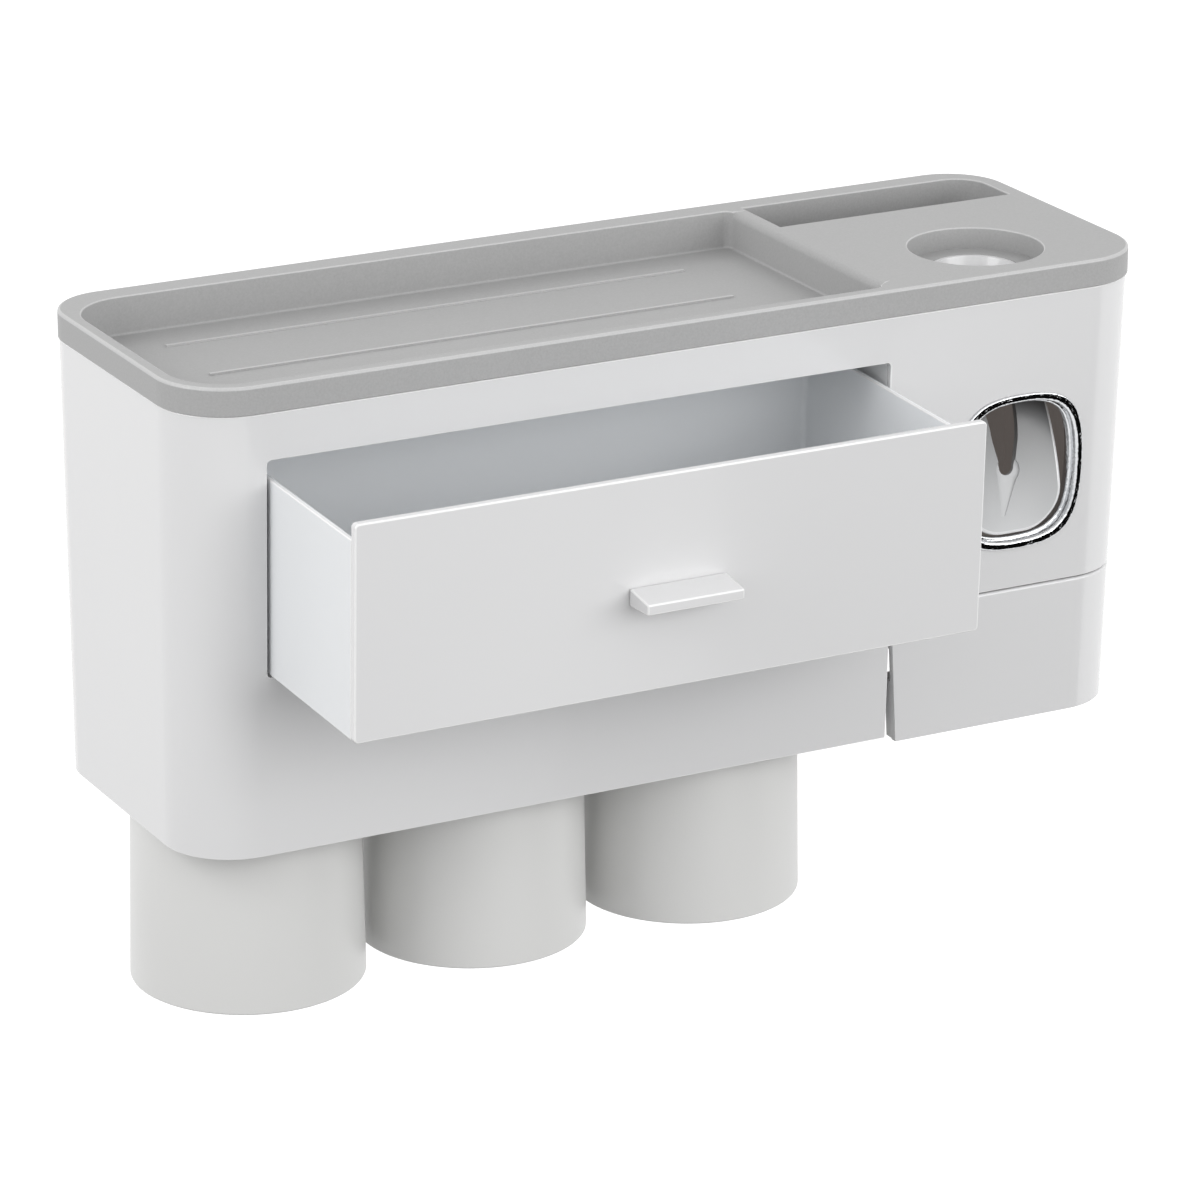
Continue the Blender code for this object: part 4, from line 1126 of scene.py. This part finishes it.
bezel = window_block("rim", 0, -bezel_proud, -touch)
join(bezel, window_block("sleeve", bezel_lip + touch, -bezel_proud / 2, bezel_depth))
carve(bezel, window_block("light", bezel_width, -overrun, bezel_depth + overrun))
inner_ring = window_block("inner_ring", bezel_width - 2 * touch, ring_start, ring_end)
carve(inner_ring, window_block("inner_light", bezel_width + ring_width, -overrun, bezel_depth))
edit(inner_ring)
round_edges(lambda e: at_depth(e, ring_start) and from_window(e.verts[0]) < ring_middle, ring_round, 5)
leave_edit()
edit(bezel)
for inner, radius, steps in ((False, outer_round, 5), (True, inner_round, 6)):
    on_lip = lambda e: at_depth(e, -bezel_proud) and all((from_window(v) < lip_middle) == inner for v in e.verts)
    round_edges(on_lip, radius, steps)
leave_edit()
join(bezel, inner_ring)
only(bezel)
bpy.ops.object.shade_smooth_by_angle(angle=bezel_smooth_below)
dress(bezel, chrome, "holder", "chrome_bezel", slot="bezel_chrome")

# %% [markdown]
# Chrome shows only what it mirrors, and in a white studio that is nothing but white. Photographers hang a black
# card where the flat of the metal looks, so that it reads as metal. The card below shows only as a reflection: it
# takes no light from the holder and throws no shadow.

# %% Dark card
card_look = bpy.data.materials.new("black_card")
card_look.use_nodes = True
card_shader = card_look.node_tree.nodes["Principled BSDF"]
card_shader.inputs["Base Color"].default_value = (0.004, 0.004, 0.004, 1)
card_shader.inputs["Roughness"].default_value = 1
card_shader.inputs["Specular IOR Level"].default_value = 0
window_place = Vector((dispenser_x, shell_low.y, tray_high.z - window_drop))
from_camera = (window_place - camera_place).normalized()
outward = Vector((0, -math.cos(lean), -math.sin(lean)))
mirrored = from_camera - 2 * from_camera.dot(outward) * outward
card_distance = 0.5
card_size = 0.36
card_turn = mirrored.to_track_quat("Z", "Y").to_euler()
bpy.ops.mesh.primitive_plane_add(size=card_size, location=window_place + card_distance * mirrored, rotation=card_turn)
card = bpy.context.object
card.name = "black_card"
card.data.materials.append(card_look)
card.visible_camera = False
card.visible_diffuse = False
card.visible_shadow = False
card.visible_transmission = False

# %% [markdown]
# ## The lever
# A brush is pushed against this forked plate. It begins as a flat block with a rounded rim, painted lighter than its
# face as a highlight.
# Rows and columns divide it, and each crossing is pushed back to its own depth, so that the plate lies near the
# window at its lip and runs away from it towards the hinge.

# %% Lever
lever_half_width = 0.0182
lever_thickness = 0.0021
lever_rim_round = 0.0013
lever_soft_edge = 0.0003
lever_foot_corner = 0.0142
lever_lip_drop = 0.0219
lever_top_rise = 0.0256
pin_low, pin_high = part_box("lever_pin")
pivot = (pin_low + pin_high) / 2
window_z = tray_high.z - window_drop
lip_depth = 0.0012
top_depth = 0.0186
lever_flat_share = 0.12
lever_curl = 1.8
lever_dish = 0.0028
lever_bowl_share = 0.75
lever_steps = 14
same_place = 0.00002
not_yet_moved = -0.01
lever_looks = lever_grey, lever_highlight, lever_dent_light

lip_z = window_z - lever_lip_drop
top_z = window_z + lever_top_rise
lever = block(
    "fork",
    (dispenser_x - lever_half_width, 0, lip_z),
    (dispenser_x + lever_half_width, lever_thickness, top_z),
)
give_looks(lever, *lever_looks)
edit(lever)
round_edges(lambda e: front_to_back(e) and middle(e).z < window_z, lever_foot_corner, 14)
# The rim's rounds take the much lighter grey, a painted highlight.
round_edges(lambda e: max(v.co.y for v in e.verts) < touch / 10, lever_rim_round, 4, 1)
for step in range(1, lever_steps):
    row_z = lip_z + (top_z - lip_z) * step / lever_steps
    column_x = dispenser_x + lever_half_width * (2 * step / lever_steps - 1)
    for place_on, facing in (((0, 0, row_z), (0, 0, 1)), ((column_x, 0, 0), (1, 0, 0))):
        bpy.ops.mesh.select_all(action="SELECT")
        bpy.ops.mesh.bisect(plane_co=place_on, plane_no=facing)


def lever_depth(x, z):
    """How deep the plate's face lies behind the front wall at a place."""
    along = max(0, (z - lip_z) / (top_z - lip_z))
    across = min(1, abs(x - dispenser_x) / lever_half_width)
    bowl = lever_dish * (1 - across**2) * math.sin(math.pi * min(1, along / lever_bowl_share))
    curl = max(0, (along - lever_flat_share) / (1 - lever_flat_share)) ** lever_curl
    return face_y(z) + lip_depth + (top_depth - lip_depth) * curl + bowl


places = {(round(v.co.x, 5), round(v.co.z, 5)) for v in bmesh.from_edit_mesh(lever.data).verts}
for x, z in sorted(places):
    here = lambda v: abs(v.co.x - x) < same_place and abs(v.co.z - z) < same_place
    pick("VERT", lambda v: here(v) and v.co.y > not_yet_moved)
    move(0, lever_depth(x, z), 0)
leave_edit()
print("lever places:", len(places))

# %% [markdown]
# A notch with a round foot makes the plate a fork. Below it lies a shallow dent, scooped with a drop made of a
# flattened ball and a cone whose tip leans to the left; the dent's faces take a lighter grey, which is painted light.
# A hub for the pin and an arm that works the pump are joined on behind. The plate's colour fades with the height:
# painted light at the lip and painted shade towards the hinge, where the case would shade it. The left lamp leaves
# it out, because the open drawer would throw a hard shadow on it.

# %% Lever's notch, dent, hub and arm
notch_foot_half = 0.0027
notch_waist_half = 0.0048
notch_waist_rise = 0.0080
notch_top_half = 0.0066
notch_fall = 0.0035
notch_low = window_z - notch_fall
hub_radius = 0.0034
arm_half = 0.0050
arm_reach = 0.0125
arm_drop = 0.0048
arm_height = 0.0034
bore_reach = 0.03
notch_round = notch_foot_half * 0.98
lip_light_share = 1.25
hinge_shade_share = 0.10
notch_top = pivot.z - hub_radius - touch
notch = block(
    "notch",
    (dispenser_x - notch_foot_half, shell_low.y - overrun, notch_low),
    (dispenser_x + notch_foot_half, pivot.y, notch_top),
)
edit(notch)
round_edges(lambda e: front_to_back(e) and middle(e).z < notch_low + touch, notch_round, 10)
waist_z = window_z + notch_waist_rise
bpy.ops.mesh.select_all(action="SELECT")
bpy.ops.mesh.bisect(plane_co=(0, 0, waist_z), plane_no=(0, 0, 1))
for level, half_below, half in (
    (waist_z, notch_foot_half, notch_waist_half),
    (notch_top, notch_waist_half, notch_top_half),
):
    pick("VERT", lambda v: v.co.z > level - touch)
    bpy.ops.transform.resize(value=(half / half_below, 1, 1), center_override=(dispenser_x, 0, 0))
leave_edit()
groove_length = 0.0145
groove_rise = 0.0020
groove_half = 0.0044
groove_flatness = 0.26
groove_slant = 0.0034
groove_steps = 64
cone_tip = groove_half / 6
cone_base = groove_half * 0.97
groove_top, groove_foot = (
    Vector((dispenser_x, lever_depth(dispenser_x, z), z))
    for z in (notch_low + groove_rise, notch_low + groove_rise - groove_length)
)
groove_tilt = math.atan((groove_top.y - groove_foot.y) / groove_length)
drops = []
for add, centre, shape in (
    (
        bpy.ops.mesh.primitive_uv_sphere_add,
        groove_top,
        {"segments": groove_steps, "ring_count": groove_steps // 2, "radius": groove_half},
    ),
    (
        bpy.ops.mesh.primitive_cone_add,
        (groove_top + groove_foot) / 2,
        {"vertices": groove_steps, "radius1": cone_tip, "radius2": cone_base, "depth": groove_length},
    ),
):
    bpy.ops.object.select_all(action="DESELECT")
    add(location=centre, rotation=(-groove_tilt, 0, 0), scale=(1, groove_flatness, 1), **shape)
    settle()
    drops.append(bpy.context.object)
    give_looks(drops[-1], *lever_looks)
    edit(drops[-1])
    # The drop's faces, which line the dent, take the lighter grey: painted light.
    paint_all(lever_looks.index(lever_dent_light))
    if pick("VERT", lambda v: v.co.z < groove_foot.z + touch):
        move(-groove_slant, 0, 0)
    leave_edit()
carve(lever, notch, *drops)
hub = rod(
    "hub",
    hub_radius,
    (dispenser_x - lever_half_width, pivot.y, pivot.z),
    (dispenser_x + lever_half_width, pivot.y, pivot.z),
    48,
    "X",
)
arm = block(
    "arm",
    (dispenser_x - arm_half, pivot.y - hub_radius / 2, pivot.z - arm_drop - arm_height),
    (dispenser_x + arm_half, pivot.y + hub_radius / 2, pivot.z - hub_radius / 2),
)
edit(arm)
pick("FACE", lambda f: f.normal.y > 0.9)
extrude(0, arm_reach - hub_radius / 2, 0)
pick("VERT", lambda v: v.co.y > pivot.y + hub_radius and v.co.z > pivot.z - arm_drop)
move(0, 0, hub_radius / 2 - arm_drop)
leave_edit()
join(lever, hub, arm)
bore = rod(
    "bore",
    (pin_high.z - pin_low.z) / 2 + touch,
    (dispenser_x - bore_reach, pivot.y, pivot.z),
    (dispenser_x + bore_reach, pivot.y, pivot.z),
    48,
    "X",
)
carve(lever, bore)
soften(lever, lever_soft_edge, lever_grey, lever_highlight, sharpest=40)
dress(lever, lever_grey, "lever", "push_lever", slot="lever_grey")
# Painted light at the lip and painted shade towards the hinge, where the case would shade the plate.
paint_height_light_and_shade(lever_grey, lip_z, lip_light_share, top_z, hinge_shade_share)
not_lit = bpy.data.collections.new("not_lit_from_the_left")
not_lit.objects.link(lever)
left_box.light_linking.receiver_collection = not_lit
not_lit.collection_objects[0].light_linking.link_state = "EXCLUDE"

# %% [markdown]
# ## The paste socket
# Below the tube hole stands the white socket that a tube is pressed into. It is a stepped funnel. A flat disc is
# drawn up into a rim, its bowl is pushed in from above and its neck drawn down below, all by insetting and
# extruding. Then a bore is cut through.

# %% Tube socket
socket_low, socket_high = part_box("tube_socket")
socket_middle = (socket_low + socket_high) / 2
socket_rim = ring_radius - touch
shoulder_radius = (socket_high.x - socket_low.x) / 2
shoulder_thickness = 0.0014
shoulder_top = tray_high.z - hole_depth - ring_thickness - touch
shoulder_foot = shoulder_top - shoulder_thickness
rim_wall = 0.0013
bowl_wall = 0.0018
bowl_drop = 0.0046
bowl_radius = socket_rim - rim_wall
bowl_low = shoulder_top - bowl_drop
funnel_draw = 0.8
well_share = 1.5
neck_radius = 0.0090
bore_radius = 0.0070


def socket_rod(name, radius, low, high):
    return rod(name, radius, (socket_middle.x, socket_middle.y, low), (socket_middle.x, socket_middle.y, high), 128)


def flat_face(direction):
    """Picks the round face that looks up (1) or down (-1)."""
    pick("FACE", lambda f: len(f.verts) > 4 and f.normal.z * direction > 0.9)


socket = socket_rod("funnel", shoulder_radius, shoulder_foot, shoulder_top)
edit(socket)
flat_face(1)
bpy.ops.mesh.inset(thickness=shoulder_radius - socket_rim)
extrude(0, 0, socket_high.z - shoulder_top)
bpy.ops.mesh.inset(thickness=socket_rim - bowl_radius)
extrude(0, 0, bowl_low - socket_high.z)
scale_flat(bore_radius * well_share / bowl_radius, socket_middle)
bpy.ops.mesh.inset(thickness=bore_radius * (well_share - 1))
flat_face(-1)
bpy.ops.mesh.inset(thickness=shoulder_radius - bowl_radius - bowl_wall)
extrude(0, 0, bowl_low - bowl_wall - shoulder_foot)
scale_flat(funnel_draw, socket_middle)
bpy.ops.mesh.inset(thickness=(bowl_radius + bowl_wall) * funnel_draw - neck_radius)
extrude(0, 0, socket_low.z - bowl_low + bowl_wall)
leave_edit()
carve(socket, socket_rod("bore", bore_radius, socket_low.z - overrun, bowl_low + overrun / 4))
soften(socket, fine_edge, gloss_white, gloss_highlight, 4)
dress(socket, gloss_white, "holder", "tube_socket", slot="gloss_white")

# %% [markdown]
# ## What stays as it is
# Inside parts are seen in slivers, through the window, the slot and the drawer's opening. Their CAD shapes are
# right as they are, so each only gets a finish.

# %% Finishes for the inside parts


def named(*words):
    """The frame's pieces that have one of the words in their name."""
    return [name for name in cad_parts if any(word in name for word in words)]


inside_looks = {
    inner_white: named("bay", "rail", "back_panel", "cup_deck", "rack", "partition", "pump"),
    case_dark: named("dispenser_case"),
    magnet_grey: named("magnet"),
    steel: named("disc", "screw", "pin", "wall_plate", "spring"),
    silicone: named("seal", "nozzle"),
    foam: named("pad"),
}
dressed = set()
for look, names in inside_looks.items():
    for name in names:
        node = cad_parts[name]
        node.data.materials.clear()
        node.data.materials.append(look)
        dressed.add(name)
print("not dressed here:", sorted(set(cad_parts) - dressed))
